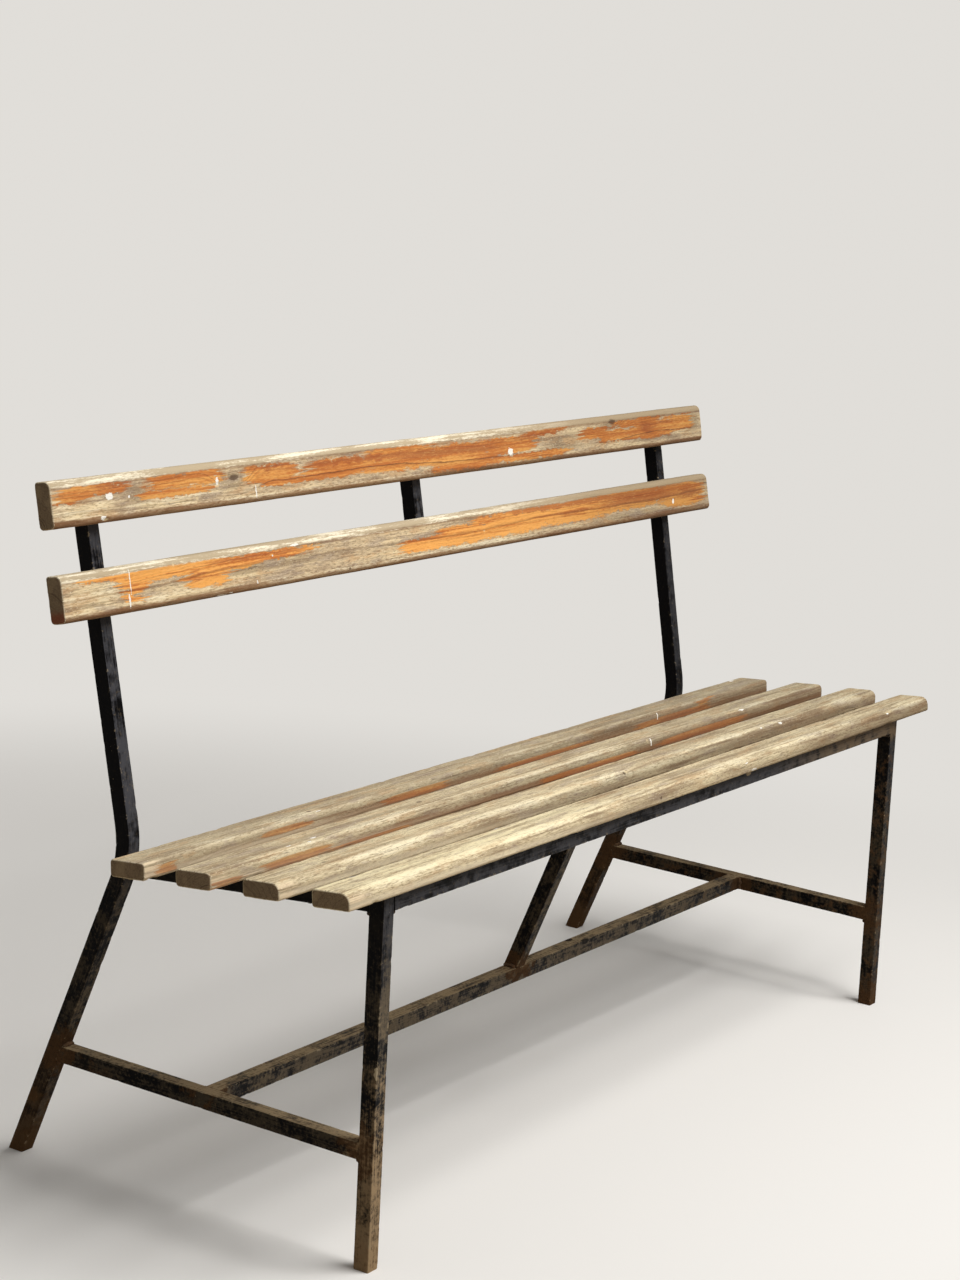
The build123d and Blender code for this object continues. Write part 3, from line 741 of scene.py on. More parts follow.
def wood_material(name, board, finish, pale, grey, is_back):
    """Weathered softwood: growth rings, fibres, knots, dirt and what is left of the varnish."""
    material, net, surface = shader_net(name)
    wood = net.get("ShaderNodeAttribute", (), "Vector", attribute_name="wood")
    seeded = wood + Vector((board["seed"] * 2.3, board["seed"] * 0.7, 0))
    along, across, up = net.split(wood)
    late = late_wood(net, wood, board, finish.ring_width)
    fibres = net.noise(seeded, (36, 1400, 1400), 3, 0.6)
    streaks = net.noise(seeded, (5, 190, 190), 4, 0.62)
    grain = net.noise(seeded, (120, 640, 640), 3, 0.65)
    flecks = net.noise(seeded + Vector((7, 0, 0)), (260, 560, 560), 2, 0.6)
    blotches = net.noise(seeded, (9, 40, 40), 3, 0.55)
    hue = net.noise(seeded + Vector((4, 0, 0)), (16, 70, 70), 3, 0.6)
    light = streaks * 0.40 + blotches * 0.35 + grain * 0.25

    # bare wood; the pale spots on the seat slats are strips along the front crowns, partly worn wood and
    # partly painted highlight
    worn = net.slope(net.spots(wood, board["pale"], True) + (light - 0.5) * 3.0, -0.1, 0.5)
    # painted shade: each seat slat greyer and darker by its own share, most at the back
    bleached = net.highest(net.slope(light, 0.42, 0.60), worn) * (1.0 - board["grey_painted_shade"] * 0.6)
    stained = net.slope(net.spots(wood, board["dark"], True) + (light - 0.5) * 4.0, 0.0, 0.5)
    tone = net.cover(
        net.mix(bleached, grey, pale),
        (board["grey_painted_shade"] * 0.5, PAINTED_SHADE_GREY),
        (stained * 0.42, finish.shade),
        (net.slope(hue, 0.53, 0.64) * 0.5, WARM_BACK if is_back else WARM_SEAT),
        (net.slope(hue, 0.46, 0.36) * 0.5, COOL_GREY),
        (net.slope(streaks * 0.6 + blotches * 0.4, 0.47, 0.37) * 0.5, finish.shade),
        (worn * net.slope(light, 0.47, 0.56) * 0.6, BLEACHED_AND_HIGHLIGHT),
        (late * 0.42, finish.late_wood),
        (net.slope(fibres, 0.54, 0.72) * (0.5 if is_back else 0.36), finish.shade),
        (net.slope(grain, 0.47, 0.34) * 0.5, finish.shade),
        (net.slope(flecks, 0.58, 0.72) * 0.5, PALE_FLECK),
    )

    # drying cracks, as thin dark lines along the grain
    crack_noise = net.noise(seeded + Vector((3, 0, 0)), (2.2, 170, 170), 2)
    crack = net.slope(net.sum("ABSOLUTE", crack_noise - 0.5), 0.010, 0.0)
    crack = crack * net.slope(blotches, 0.46, 0.60)
    tone = net.mix(crack * 0.6, tone, CRACK)

    # dark along the lower edges, partly stain and partly painted shade, and a cream top on the back slats
    ragged_edge = (streaks - 0.5) * 0.012 + (grain - 0.5) * 0.006
    if is_back:
        brink = across + ragged_edge * 0.5
        cream = net.mix(net.slope(light, 0.47, 0.57), CREAM_DULL, CREAM)
        # painted shade: the cream top darker towards the right
        cream = net.mix(net.slope(along, 0.05, 0.45) * 0.95, cream, CREAM_RIGHT_SHADE)
        tone = net.mix(net.slope(brink, 0.0455, 0.0475), tone, cream)
        line = net.slope(brink, 0.0435, 0.0455) * net.slope(brink, 0.0485, 0.0462)
        tone = net.mix(line * 0.45, tone, finish.edge_stain_and_shade)
        low = net.slope(across + ragged_edge, 0.0105, 0.0040)
    else:
        front = net.slope(across, 0.006, 0.001)
        low = net.slope(up + ragged_edge, 0.0150, 0.007) * front * board["low_stain_and_shade"]
        # painted shade: the fronts darker towards the right, and their dark foot weaker at the left
        low = net.highest(low, front * net.slope(along, 0.05, 0.60) * 0.4)
        low = low * (1.0 - net.slope(along, -0.30, -0.60) * 0.6)
        # painted light: a yellow top and a pale foot at the left
        yellow, painted_light_foot = (share * finish.left_painted_light for share in board["left"])
        to_left = net.slope(along, 0.05, -0.45)
        on_top = net.slope(light, 0.40, 0.56) * (1.0 - front) * yellow
        at_foot = to_left * front * net.slope(up, 0.012, 0.006) * painted_light_foot
        tone = net.cover(tone, (to_left * on_top, PAINTED_LIGHT_TOP), (at_foot, PAINTED_LIGHT_FOOT))
        # painted shade on the fronts, in their middle and at their right
        painted_shade_middle, painted_shade_right = (share * finish.front_painted_shade for share in board["dull"])
        dull = net.slope(along, -0.40, -0.10) * painted_shade_middle
        dull = dull + net.slope(along, 0.25, 0.55) * (painted_shade_right - painted_shade_middle)
        tone = net.shade(tone, 1.0 - front * dull)
        tip = front * net.slope(along, -0.715, -0.735) * 0.6
        tone = net.mix(tip * net.slope(streaks, 0.40, 0.55), tone, PALE_TIP)
    tone = net.mix(low * 0.8, tone, finish.edge_stain_and_shade)

    # varnish, in ragged patches that feather out along the grain
    rough, varnished = 0.86, None
    if "varnish" in board:
        fingers = net.noise(seeded + Vector((0, 4, 0)), (11, 330, 330), 3, 0.6) - 0.5
        flakes = net.noise(seeded + Vector((5, 0, 0)), (70, 150, 150), 4, 0.65) - 0.5
        ragged = net.join(fingers * 0.11 + flakes * 0.03, flakes * 0.016 + fingers * 0.004, 0)
        ragged = wood + ragged
        left = net.spots(ragged, board["varnish"], True)
        holes = net.noise(seeded + Vector((2, 0, 0)), (30, 170, 170), 4, 0.65)
        holes = net.slope(holes, 0.60, 0.70) * 0.35
        varnished = net.slope(left - holes + (grain - 0.5) * 0.25, -0.08, 0.12)
        if is_back:
            varnished = varnished * net.slope(brink, 0.0478, 0.0460)
        amber = board.get("amber", 0.46)
        sheen = net.slope(streaks * 0.6 + grain * 0.2 + blotches * 0.2, amber, amber + 0.12)
        thick = net.spots(ragged, board["red"], True)
        thick = net.slope(thick + (streaks - 0.5) * 2.4, -0.1, 0.5)
        thick = net.highest(thick, net.slope(streaks, 0.47, 0.36) * 0.55)
        coat = net.cover(
            net.mix(sheen, finish.varnish, finish.varnish_amber),
            (thick * 0.72, finish.varnish_red),
            (late * board.get("ring_line", 0.5), finish.varnish_line),
            (net.slope(fibres, 0.54, 0.74) * 0.28, finish.varnish_line),
            (net.slope(grain, 0.45, 0.33) * 0.30, finish.varnish_red),
            (net.slope(grain, 0.57, 0.68) * 0.28, VARNISH_LIGHT),
        )
        # painted shade on the varnish: all of the upper slat's, and the lower's at its right
        if board.get("shaded") == "all":
            coat = net.shade(coat, (1.0 - finish.varnish_painted_shade,) * 3)
        elif board.get("shaded") == "right":
            coat = net.shade(coat, 1.0 - net.slope(along, 0.25, 0.55) * finish.varnish_painted_shade)
        rim = net.slope(left - holes, 0.14, 0.02)
        coat = net.mix(rim * 0.30, coat, finish.varnish_line)
        # painted shade: the seat's varnish lies down in the gaps, and is darkened
        if not is_back:
            coat = net.mix(0.45, coat, finish.edge_stain_and_shade)
        tone = net.mix(varnished * (0.95 if is_back else 0.7), tone, coat)
        rough = rough - varnished * 0.30

    # knots, nicks, and painted shade that darkens every slat towards its right
    core = net.slope(net.spots(wood, board["knots"]) + (grain - 0.5) * 1.2, 0.05, 0.45)
    nicks = net.slope(net.spots(wood, board["nicks"]) + (grain - 0.5), 0.1, 0.5)
    tone = net.cover(tone, (core * 0.75, KNOT), (nicks * 0.6, NICK))
    tone = net.shade(tone, 1.0 - net.slope(along, -0.1, 0.75) * finish.right_painted_shade)

    # sawn ends, with a painted highlight on the rounded rim round them
    facing = net.split(net.get("ShaderNodeTexCoord", (), "Normal"))[0]
    facing = net.sum("ABSOLUTE", facing)
    rim = net.slope(facing, 0.20, 0.50) * net.slope(facing, 0.92, 0.80)
    tone = net.mix(rim * net.slope(grain, 0.38, 0.52) * 0.6, tone, END_RIM_HIGHLIGHT)
    end_tone = net.cover(
        finish.end_grain,
        (late * 0.7, END_RING),
        (net.slope(grain, 0.45, 0.62) * 0.6, END_DARK),
        (net.slope(blotches, 0.50, 0.62) * 0.4, END_PALE),
    )
    if board.get("red_end"):
        end_tone = net.mix(net.slope(across + ragged_edge, 0.018, 0.006) * 0.7, end_tone, END_RED)
    tone = net.mix(net.slope(facing, 0.80, 0.94), tone, end_tone)

    # white specks and scratches
    white = net.spots(wood, board["white"]) + (flecks - 0.5) * 1.1 + (grain - 0.5) * 0.8
    specks = net.slope(net.noise(seeded, (170, 260, 260), 1), 0.79, 0.82)
    specks = specks * net.slope(blotches, 0.5, 0.6) * (0.2 if is_back else 0.35)
    white = net.highest(net.slope(white, 0.0, 0.12), specks)
    tone = net.mix(white * 0.95, tone, finish.white)

    height = late * 0.5 + fibres * 0.5 + grain * 0.5 - crack - core * 0.4 + white * 0.3 - nicks * 0.5
    if varnished:
        height = height * (1.0 - varnished * 0.45) + varnished * 0.5
    dress(net, surface, tone, rough, height, 0.6, 0.0006)
    surface.inputs["Specular IOR Level"].default_value = 0.3
    return material


# ---------------------------------------------------------------- metal

# Places where the paint is chipped to black, and where a flake is pale, in millimetres.
CHIPPED = (((154, -14, 150), (10, 6, 5)), ((173, -30, 148), (12, 5, 5)))
FLAKED = (
    ((182, -257, 438), (9, 5, 4)),
    ((-664, -262, 205), (1.6, 4, 16)),
    ((-684, -262, 236), (1.6, 4, 9)),
)
RUST_PIT, MUD, LEG_DUST_AND_LIGHT = linear(32, 25, 20), linear(100, 76, 50), linear(176, 150, 116)
RAIL_BROWN, CHIP_BLACK, FLAKE = linear(124, 104, 78), linear(14, 12, 12), linear(188, 172, 144)


def painted_metal(name, finish):
    """Old black paint: chalky patches, chipped edges, rust at the welds and feet, dust on top."""
    material, net, surface = shader_net(name)
    run = net.get("ShaderNodeAttribute", (), "Vector", attribute_name="bar")
    edge = net.get("ShaderNodeAttribute", (), "Fac", attribute_name="edge")
    joint = net.get("ShaderNodeAttribute", (), "Fac", attribute_name="joint")
    place = net.get("ShaderNodeTexCoord", (), "Object")
    right, back, height = net.split(place)
    _, backward, upward = net.split(net.get("ShaderNodeTexCoord", (), "Normal"))
    blotches = net.noise(place, 26, 4, 0.6)
    wander = net.noise(place, 75, 4, 0.62)
    grit = net.noise(place, 250, 4, 0.65)
    speckle = net.noise(place, 600, 2, 0.6)
    scuffs = net.noise(run, (16, 480, 480), 4, 0.65)

    # black paint under a patchy film: on the fronts of the posts, partly chalk and partly painted sheen,
    # with painted shade taking some of it off the right end frame; brown with dirt low down
    front = net.slope(backward, -0.5, -0.9)
    low = net.slope(height, 0.44, 0.28)
    film = blotches * 0.35 + scuffs * 0.30 + wander * 0.35
    # painted shade: the right end frame keeps less of the chalk and sheen
    chalk_sheen_and_shade = finish.front_chalk_and_sheen - net.slope(right, 0.60, 0.64) * finish.right_frame_painted_shade
    patches = net.slope(film + (grit - 0.5) * 0.3, 0.44, 0.57)
    tone = net.cover(
        finish.paint,
        (net.slope(film, 0.40, 0.54) * (0.02 + front * chalk_sheen_and_shade), finish.paint_chalk_and_sheen),
        (low * front * 0.6, finish.paint),
        (patches * low * (0.32 + front * (chalk_sheen_and_shade - 0.34)), finish.paint_dirty),
        (net.slope(grit, 0.55, 0.70) * (0.03 + low * 0.10 + front * 0.14), finish.dust),
    )

    # rust at the lower joints, on the feet and towards the right end
    lower = net.slope(height, 0.34, 0.24)
    near_weld = net.slope(joint + (wander - 0.5) * 0.07, 0.034, 0.004) * (0.15 + lower * 0.85)
    foot = net.slope(height + (wander - 0.5) * 0.12, 0.062, 0.006)
    to_right = net.slope(right, 0.30, 0.62) * net.slope(height, 0.445, 0.36)
    to_right = to_right * net.slope(wander, 0.42, 0.60)
    rear_low = net.slope(height, 0.22, 0.14) * net.slope(back, 0.05, 0.20)
    rear_low = rear_low * net.slope(blotches, 0.44, 0.60)
    rusty = net.highest(near_weld, foot * 0.85, to_right * 0.5, rear_low * 0.8)
    rusty = net.slope(rusty + (grit - 0.5) * 0.5, 0.14, 0.80)
    bright = net.slope(grit * 0.4 + wander * 0.6, 0.46, 0.64) * 0.6
    rust = net.mix(bright, finish.rust, finish.rust_bright)
    rust = net.mix(net.slope(speckle, 0.48, 0.66) * 0.55, rust, RUST_PIT)

    # mud on the rear legs
    mud = net.slope(height, 0.17, 0.03) * net.slope(back, 0.10, 0.18) * net.slope(film, 0.34, 0.52)

    # the left front leg is paler towards its foot, partly dust and partly painted light from the floor, and
    # the front rail is brown at its right
    at_front = net.slope(back, -0.20, -0.24)
    dusty = net.slope(right, -0.40, -0.64) * at_front * net.slope(height, 0.40, 0.0)
    dusty = net.slope(dusty + (film - 0.5) * 4.2 + (grit - 0.5) * 1.2, 0.30, 1.10)
    dusty = dusty * net.slope(height, 0.42, 0.16) * net.slope(right, -0.60, -0.64) * at_front
    brown = net.slope(right, 0.22, 0.50) * net.slope(height, 0.405, 0.420) * at_front
    brown = brown * front * net.slope(film, 0.38, 0.54) * finish.rail_right_brown

    # dust that settled on upper faces
    settled = net.slope(blotches * 0.3 + scuffs * 0.4 + grit * 0.3, 0.40, 0.55)
    settled = net.slope(upward, 0.50, 0.8) * settled

    # chips along the edges, small ones anywhere
    chips = edge * net.slope(wander * 0.45 + grit * 0.55, 0.55, 0.62)
    chips = chips * (0.35 + net.slope(backward, -0.1, -0.7) * 0.65)
    flecks = net.slope(net.noise(place, 380, 1), 0.76, 0.80) * net.slope(blotches, 0.48, 0.6)
    bare = net.highest(chips * 0.85, flecks * 0.6)
    lost = net.slope(net.spots(place, CHIPPED) + (grit - 0.5) * 0.8, 0.1, 0.3)
    flaked = net.slope(net.spots(place, FLAKED) + (grit - 0.5) * 1.2, 0.1, 0.3)

    tone = net.cover(
        tone,
        (rusty * 0.9, rust),
        (mud * 0.55, MUD),
        (dusty * (0.50 + front * 0.35), LEG_DUST_AND_LIGHT),
        (brown, RAIL_BROWN),
        (settled * 0.85, finish.dust),
        (bare, finish.bare),
        (lost * 0.9, CHIP_BLACK),
        (flaked * 0.9, FLAKE),
    )
    dull = net.highest(rusty, settled)
    rough = 0.42 + net.slope(blotches, 0.35, 0.7) * 0.16 + dull * 0.34 + bare * 0.15
    relief = blotches * 0.5 + grit * 0.35 + wander * 0.5 - bare * 0.4 + rusty * grit * 0.7
    dress(net, surface, tone, rough, relief - lost * 0.8, 0.7, 0.0007)
    surface.inputs["Specular IOR Level"].default_value = 0.04
    return material


def weld_metal(name, finish):
    """Beads under black paint at the seat, and brown with rust lower down."""
    material, net, surface = shader_net(name)
    place = net.get("ShaderNodeTexCoord", (), "Object")
    height = net.split(place)[2]
    blotches = net.noise(place, 90, 4, 0.6)
    grit = net.noise(place, 420, 4, 0.65)
    rust = net.mix(net.slope(grit, 0.42, 0.62), finish.rust, finish.rust_bright)
    painted = net.slope(height, 0.24, 0.34) * 0.5
    painted = painted + net.slope(blotches * 0.5 + grit * 0.5, 0.48, 0.58) * 0.5
    dusty = net.slope(grit * 0.6 + blotches * 0.4, 0.54, 0.64) * 0.35
    tone = net.cover(rust, (painted, finish.paint), (dusty, finish.dust))
    dress(net, surface, tone, 0.62 + grit * 0.3, grit + blotches, 0.7, 0.0006)
    surface.inputs["Specular IOR Level"].default_value = 0.25
    return material


def screw_metal(name, finish):
    """Dull steel, darkened and freckled with rust."""
    material, net, surface = shader_net(name)
    place = net.get("ShaderNodeTexCoord", (), "Object")
    grit = net.noise(place, 700, 3, 0.6)
    rusty = net.slope(grit * 0.5 + net.noise(place, 180, 3, 0.6) * 0.5, 0.46, 0.62)
    tone = net.mix(rusty, finish.steel, finish.rust)
    dress(net, surface, tone, 0.42 + rusty * 0.4, grit, 0.5, 0.0003)
    net.put(surface.inputs["Metallic"], 0.9 - rusty * 0.8)
    return material


CUT_FADE = 0.05  # the length, in metres, over which a slanting cut straightens out up the bar


def bar_tree():
    """Sweeps a square section along a guide, bent where it turns and cut to a plane at each end."""
    inputs = {name: "Float" for name in ("Side", "Edge", "Bend Radius", "Row Spacing", "Paint")}
    inputs.update({"Across": "Vector", "Start Cut": "Vector", "End Cut": "Vector", "Joints": "Object"})
    inputs.update({"Lump": "Float", "Seed": "Float", "Material": "Material"})
    net, given = geometry_net("Painted bar", inputs)

    path = net.get("GeometryNodeMeshToCurve", {"Mesh": given["Geometry"]})
    fillet = {"Curve": path, "Count": 24, "Radius": given["Bend Radius"]}
    path = net.get("GeometryNodeFilletCurve", fillet, mode="POLY")
    resample = {"Curve": path, "Length": given["Row Spacing"]}
    path = net.get("GeometryNodeResampleCurve", resample, mode="LENGTH")
    path, (middle, direction, run, whole) = capture(
        net,
        path,
        middle=net.get("GeometryNodeInputPosition"),
        direction=net.get("GeometryNodeInputTangent"),
        run=net.get("GeometryNodeSplineParameter", (), 1),
        whole=net.get("GeometryNodeSplineLength"),
    )

    # section: flats of eight pieces, and only the corners rounded
    square = {0: given["Side"], 1: given["Side"]}
    section = net.get("GeometryNodeCurvePrimitiveQuadrilateral", square, mode="RECTANGLE")
    section = net.get("GeometryNodeSubdivideCurve", {"Curve": section, "Cuts": 7})
    corner = net.sum("COMPARE", net.sum("MODULO", net.get("GeometryNodeInputIndex"), 8.0), 0.0)
    fillet = {"Curve": section, "Count": 3, "Radius": corner * given["Edge"]}
    section = net.get("GeometryNodeFilletCurve", fillet, mode="POLY")
    section, (spot,) = capture(net, section, spot=net.get("GeometryNodeInputPosition"))
    values = {"Curve": path, "Profile Curve": section, "Fill Caps": True}
    geometry = net.get("GeometryNodeCurveToMesh", values)

    sideways, forward, _ = net.split(spot)
    outward = net.vector("CROSS_PRODUCT", direction, given["Across"])
    from_middle = given["Across"] * sideways + outward * forward

    def cut(normal, distance):
        """How far a point slides along the bar to reach its cut, fading out up the bar."""
        slant = net.vector("DOT_PRODUCT", from_middle, normal)
        slant = slant / net.vector("DOT_PRODUCT", direction, normal)
        return -slant * net.sum("SUBTRACT", 1.0, distance / CUT_FADE, clamp=True)

    slide = cut(given["Start Cut"], run) + cut(given["End Cut"], whole - run)
    geometry = move(net, geometry, place=middle + from_middle + direction * slide)

    # coats of paint, with hollows in them and dents along the edges
    seeded = net.get("GeometryNodeInputPosition") + net.join(given["Seed"], 0, 0)
    half = given["Side"] * 0.5
    nearest = net.sum("MINIMUM", net.sum("ABSOLUTE", sideways), net.sum("ABSOLUTE", forward))
    edge = net.slope((half - nearest) / half, 0.32, 0.04)
    lumps = net.noise(seeded, 46, 3, 0.55) * 0.7 + net.noise(seeded, 210, 2) * 0.3
    dents = edge * net.slope(net.noise(seeded, 80, 2), 0.60, 0.74) * 1.6
    coat = net.get("GeometryNodeInputNormal") * (given["Paint"] - (lumps + dents) * given["Lump"])
    geometry = move(net, geometry, offset=coat)

    joints = net.get("GeometryNodeObjectInfo", {"Object": given["Joints"]}, "Geometry")
    joint = net.get("GeometryNodeProximity", {0: joints}, "Distance", target_element="POINTS")
    geometry = keep(net, geometry, "bar", net.join(run + given["Seed"], sideways, forward))
    geometry = keep(net, geometry, "edge", edge)
    geometry = keep(net, geometry, "joint", joint)
    close_tree(net, geometry, given["Material"])
    return net


class Lines:
    """Lines and planes of the frame, worked out from the sizes."""

    def __init__(self, sizes):
        self.sizes = sizes
        bar = sizes.bar_side
        left_reach = max(sizes.seat_slat_left_reach, sizes.back_slat_left_reach)
        right_reach = max(*sizes.seat_slat_right_reach, sizes.back_slat_right_reach)
        self.middle_x = (left_reach - right_reach) / 2
        self.frame_left = self.middle_x - sizes.frame_width / 2
        self.frame_right = self.middle_x + sizes.frame_width / 2
        self.left_x, self.right_x = self.frame_left + bar / 2, self.frame_right - bar / 2
        self.front_up, self.front_back = self.lean(sizes.front_leg_lean)
        self.rear_up, self.rear_back = self.lean(-sizes.rear_leg_lean)
        self.post_up, self.post_back = self.lean(sizes.post_lean)
        self.seat_up, self.down_slope = self.lean(sizes.seat_slope)
        self.slat_pitch = sizes.seat_slat_width + sizes.seat_slat_gap
        self.seat_end = 3 * self.slat_pitch - sizes.seat_slat_overhang + sizes.seat_slat_width
        post_line = self.seat_end + sizes.post_gap
        self.back_top = sizes.back_slat_rise + 2 * sizes.back_slat_width + sizes.back_slat_gap

        # depth over the feet, which the origin halves
        leg_run = sizes.rail_height * math.tan(sizes.front_leg_lean)
        bend_rise = sizes.rail_height - post_line * math.sin(sizes.seat_slope)
        depth = leg_run + post_line * math.cos(sizes.seat_slope)
        depth += bend_rise * math.tan(sizes.rear_leg_lean) + bar / math.cos(sizes.rear_leg_lean)
        self.front_y = -depth / 2
        self.seat = Vector((0, self.front_y + leg_run, sizes.rail_height))
        self.back = self.on_seat(0, post_line)
        self.stretcher_y = self.front_y + sizes.stretcher_setback
        self.stretcher_z = sizes.stretcher_height - bar / 2

        # centreline of the bent bar
        shift = (self.rear_back + self.post_back) / (1 + self.rear_back.dot(self.post_back))
        self.bend = self.back + shift * (bar / 2)
        self.bend_centre = self.bend + shift * sizes.bend_radius
        half_bend = (sizes.rear_leg_lean + sizes.post_lean) / 2
        splay_start = (sizes.bend_radius + bar / 2) * math.tan(half_bend) + bar / 2
        post_top = self.back_top - sizes.post_inset
        above_bend = (self.bend - self.back).dot(self.post_up)
        self.kink = self.bend + self.post_up * (splay_start - above_bend)
        self.head = self.bend + self.post_up * (post_top - above_bend)
        self.head_shift = X * ((post_top - splay_start) * math.tan(sizes.post_splay))

    @staticmethod
    def lean(angle):
        """The directions along and behind a bar that leans back by an angle."""
        return Vector((0, math.sin(angle), math.cos(angle))), Vector((0, math.cos(angle), -math.sin(angle)))

    def on_seat(self, x, down_slope, above=0.0):
        return self.seat + X * x + self.down_slope * down_slope + self.seat_up * above

    def on_back(self, x, up_post, ahead=0.0):
        return self.back + X * x + self.post_up * up_post - self.post_back * ahead

    @staticmethod
    def meet(point, direction, on_plane, normal):
        """Where the line through point along direction crosses a plane."""
        return point + direction * ((on_plane - point).dot(normal) / direction.dot(normal))

    def end_bars(self, hand, x):
        """The bars of one end frame: points, side across, first cut and last cut."""
        bar = self.sizes.bar_side
        leg_top = self.seat + self.front_back * (bar / 2) + X * x
        leg_back = self.seat + self.front_back * bar
        bend = self.bend + X * x
        leg_ends = (Vector(), Z), (self.seat, self.seat_up)
        leg = [self.meet(leg_top, self.front_up, *plane) for plane in leg_ends]
        yield f"{hand}_front_leg", (leg, X, Z, self.seat_up)
        foot = self.meet(bend, self.rear_up, Vector(), Z)
        head = self.head + X * x + self.head_shift * (-1 if hand == "left" else 1)
        yield f"{hand}_rear_leg_post", ((foot, bend, self.kink + X * x, head), X, Z, self.post_up)

        # the rail stops on the outside of the bend
        rail = self.on_seat(x, 0, -bar / 2)
        centre = self.bend_centre + X * x
        away = (centre - rail).dot(self.seat_up)
        reach = math.sqrt((self.sizes.bend_radius + bar / 2) ** 2 - away**2)
        rail_end = rail + self.down_slope * ((centre - rail).dot(self.down_slope) - reach)
        rail_start = self.meet(rail, self.down_slope, leg_back, self.front_back)
        rail_cut = (rail_end - centre).normalized()
        yield f"{hand}_seat_rail", ((rail_start, rail_end), X, self.front_back, rail_cut)

        low = Vector((x, 0, self.stretcher_z))
        first = self.meet(low, Y, leg_back, self.front_back)
        last = self.meet(low, Y, self.back, self.rear_back)
        yield f"{hand}_side_stretcher", ((first, last), X, self.front_back, self.rear_back)

    def long_bars(self):
        """The bars between the end frames."""
        sizes, bar = self.sizes, self.sizes.bar_side
        inner = (self.left_x + bar / 2, self.right_x - bar / 2)
        front = [self.on_seat(x, bar / 2, -bar / 2) for x in inner]
        yield "front_seat_rail", (front, self.down_slope, X, X)
        low = [Vector((x, self.stretcher_y, self.stretcher_z)) for x in inner]
        yield "long_stretcher", (low, Y, X, X)
        middle = self.middle_x + sizes.brace_offset
        rail_ends = bar, self.seat_end - sizes.centre_rail_inset
        rail = [self.on_seat(middle, down_slope, -bar / 2) for down_slope in rail_ends]
        yield "centre_seat_rail", (rail, X, self.down_slope, self.down_slope)
        foot = Vector((middle, self.stretcher_y, sizes.stretcher_height))
        yield "centre_brace", ((foot, self.on_seat(middle, sizes.brace_setback, -bar)), X, Z, self.seat_up)
        strap = [
            self.on_back(self.middle_x, up_post, -bar / 2)
            for up_post in (sizes.back_slat_rise + sizes.strap_inset, self.back_top - sizes.strap_inset)
        ]
        yield "centre_back_strap", (strap, X, self.post_up, self.post_up)


def islands(node):
    """The separate solids of a CAD node: each one's points as rows."""
    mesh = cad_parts[node].data
    points = np.array([vertex.co[:] for vertex in mesh.vertices])
    _, same = np.unique(np.round(points, 6), axis=0, return_inverse=True)
    same = same.ravel()
    group = list(range(same.max() + 1))

    def root(item):
        while group[item] != item:
            group[item] = group[group[item]]
            item = group[item]
        return item

    for polygon in mesh.polygons:
        first, *others = (root(same[vertex]) for vertex in polygon.vertices)
        for other in others:
            group[root(other)] = root(first)
    roots = np.array([root(item) for item in same])
    return [points[roots == item] for item in np.unique(roots)]


def bead_lines(trim=0.0):
    """Each weld node's beads: the two ends of each bead's middle line, trimmed."""
    lines = {}
    for node in ("left_frame_welds", "right_frame_welds", "centre_welds"):
        lines[node] = []
        for points in islands(node):
            middle = points.mean(axis=0)
            axis = np.linalg.svd(np.unique(np.round(points, 6), axis=0) - middle)[2][0]
            reach = np.abs((points - middle) @ axis).max() - trim
            lines[node].append((Vector(middle - axis * reach), Vector(middle + axis * reach)))
    return lines


def weld_tree():
    """Drops laid along each guide line and fused into a lumpy bead."""
    net, given = geometry_net("Weld bead", {"Bulk": "Float", "Seed": "Int", "Material": "Material"})
    bulk = given["Bulk"]
    spacing, voxel = bulk * 0.62, bulk * 0.2
    stray_reach, smallest, largest, roughness = 0.0007, 0.72, 1.12, 0.0006
    path = net.get("GeometryNodeMeshToCurve", {"Mesh": given["Geometry"]})
    path = net.get("GeometryNodeResampleCurve", {"Curve": path, "Length": spacing}, mode="LENGTH")
    drop = net.get("GeometryNodeMeshIcoSphere", {"Radius": bulk, "Subdivisions": 3})

    def chance(low, high, offset, kind="FLOAT"):
        names = {"FLOAT": (2, 3, 1), "FLOAT_VECTOR": (0, 1, 0)}[kind]
        node = net.node("FunctionNodeRandomValue", {names[0]: low, names[1]: high}, data_type=kind)
        net.put(node.inputs["Seed"], given["Seed"] + offset)
        return Value(net, node.outputs[names[2]])

    stray = chance((-stray_reach,) * 3, (stray_reach,) * 3, 1, "FLOAT_VECTOR")
    path = net.get("GeometryNodeSetPosition", {"Geometry": path, "Offset": stray})
    values = {"Points": path, "Instance": drop, "Scale": chance(smallest, largest, 2)}
    drops = net.get("GeometryNodeInstanceOnPoints", values)
    drops = net.get("GeometryNodeRealizeInstances", {"Geometry": drops})
    values = {"Mesh": drops, "Voxel Size": voxel, "Interior Band Width": bulk}
    bead = net.get("GeometryNodeMeshToVolume", values, resolution_mode="VOXEL_SIZE")
    values = {"Volume": bead, "Voxel Size": voxel, "Threshold": 0.1}
    bead = net.get("GeometryNodeVolumeToMesh", values, resolution_mode="VOXEL_SIZE")
    rough = net.noise(net.get("GeometryNodeInputPosition"), 420, 2) - 0.5
    bead = move(net, bead, offset=net.get("GeometryNodeInputNormal") * (rough * roughness))
    close_tree(net, bead, given["Material"], 80)
    return net


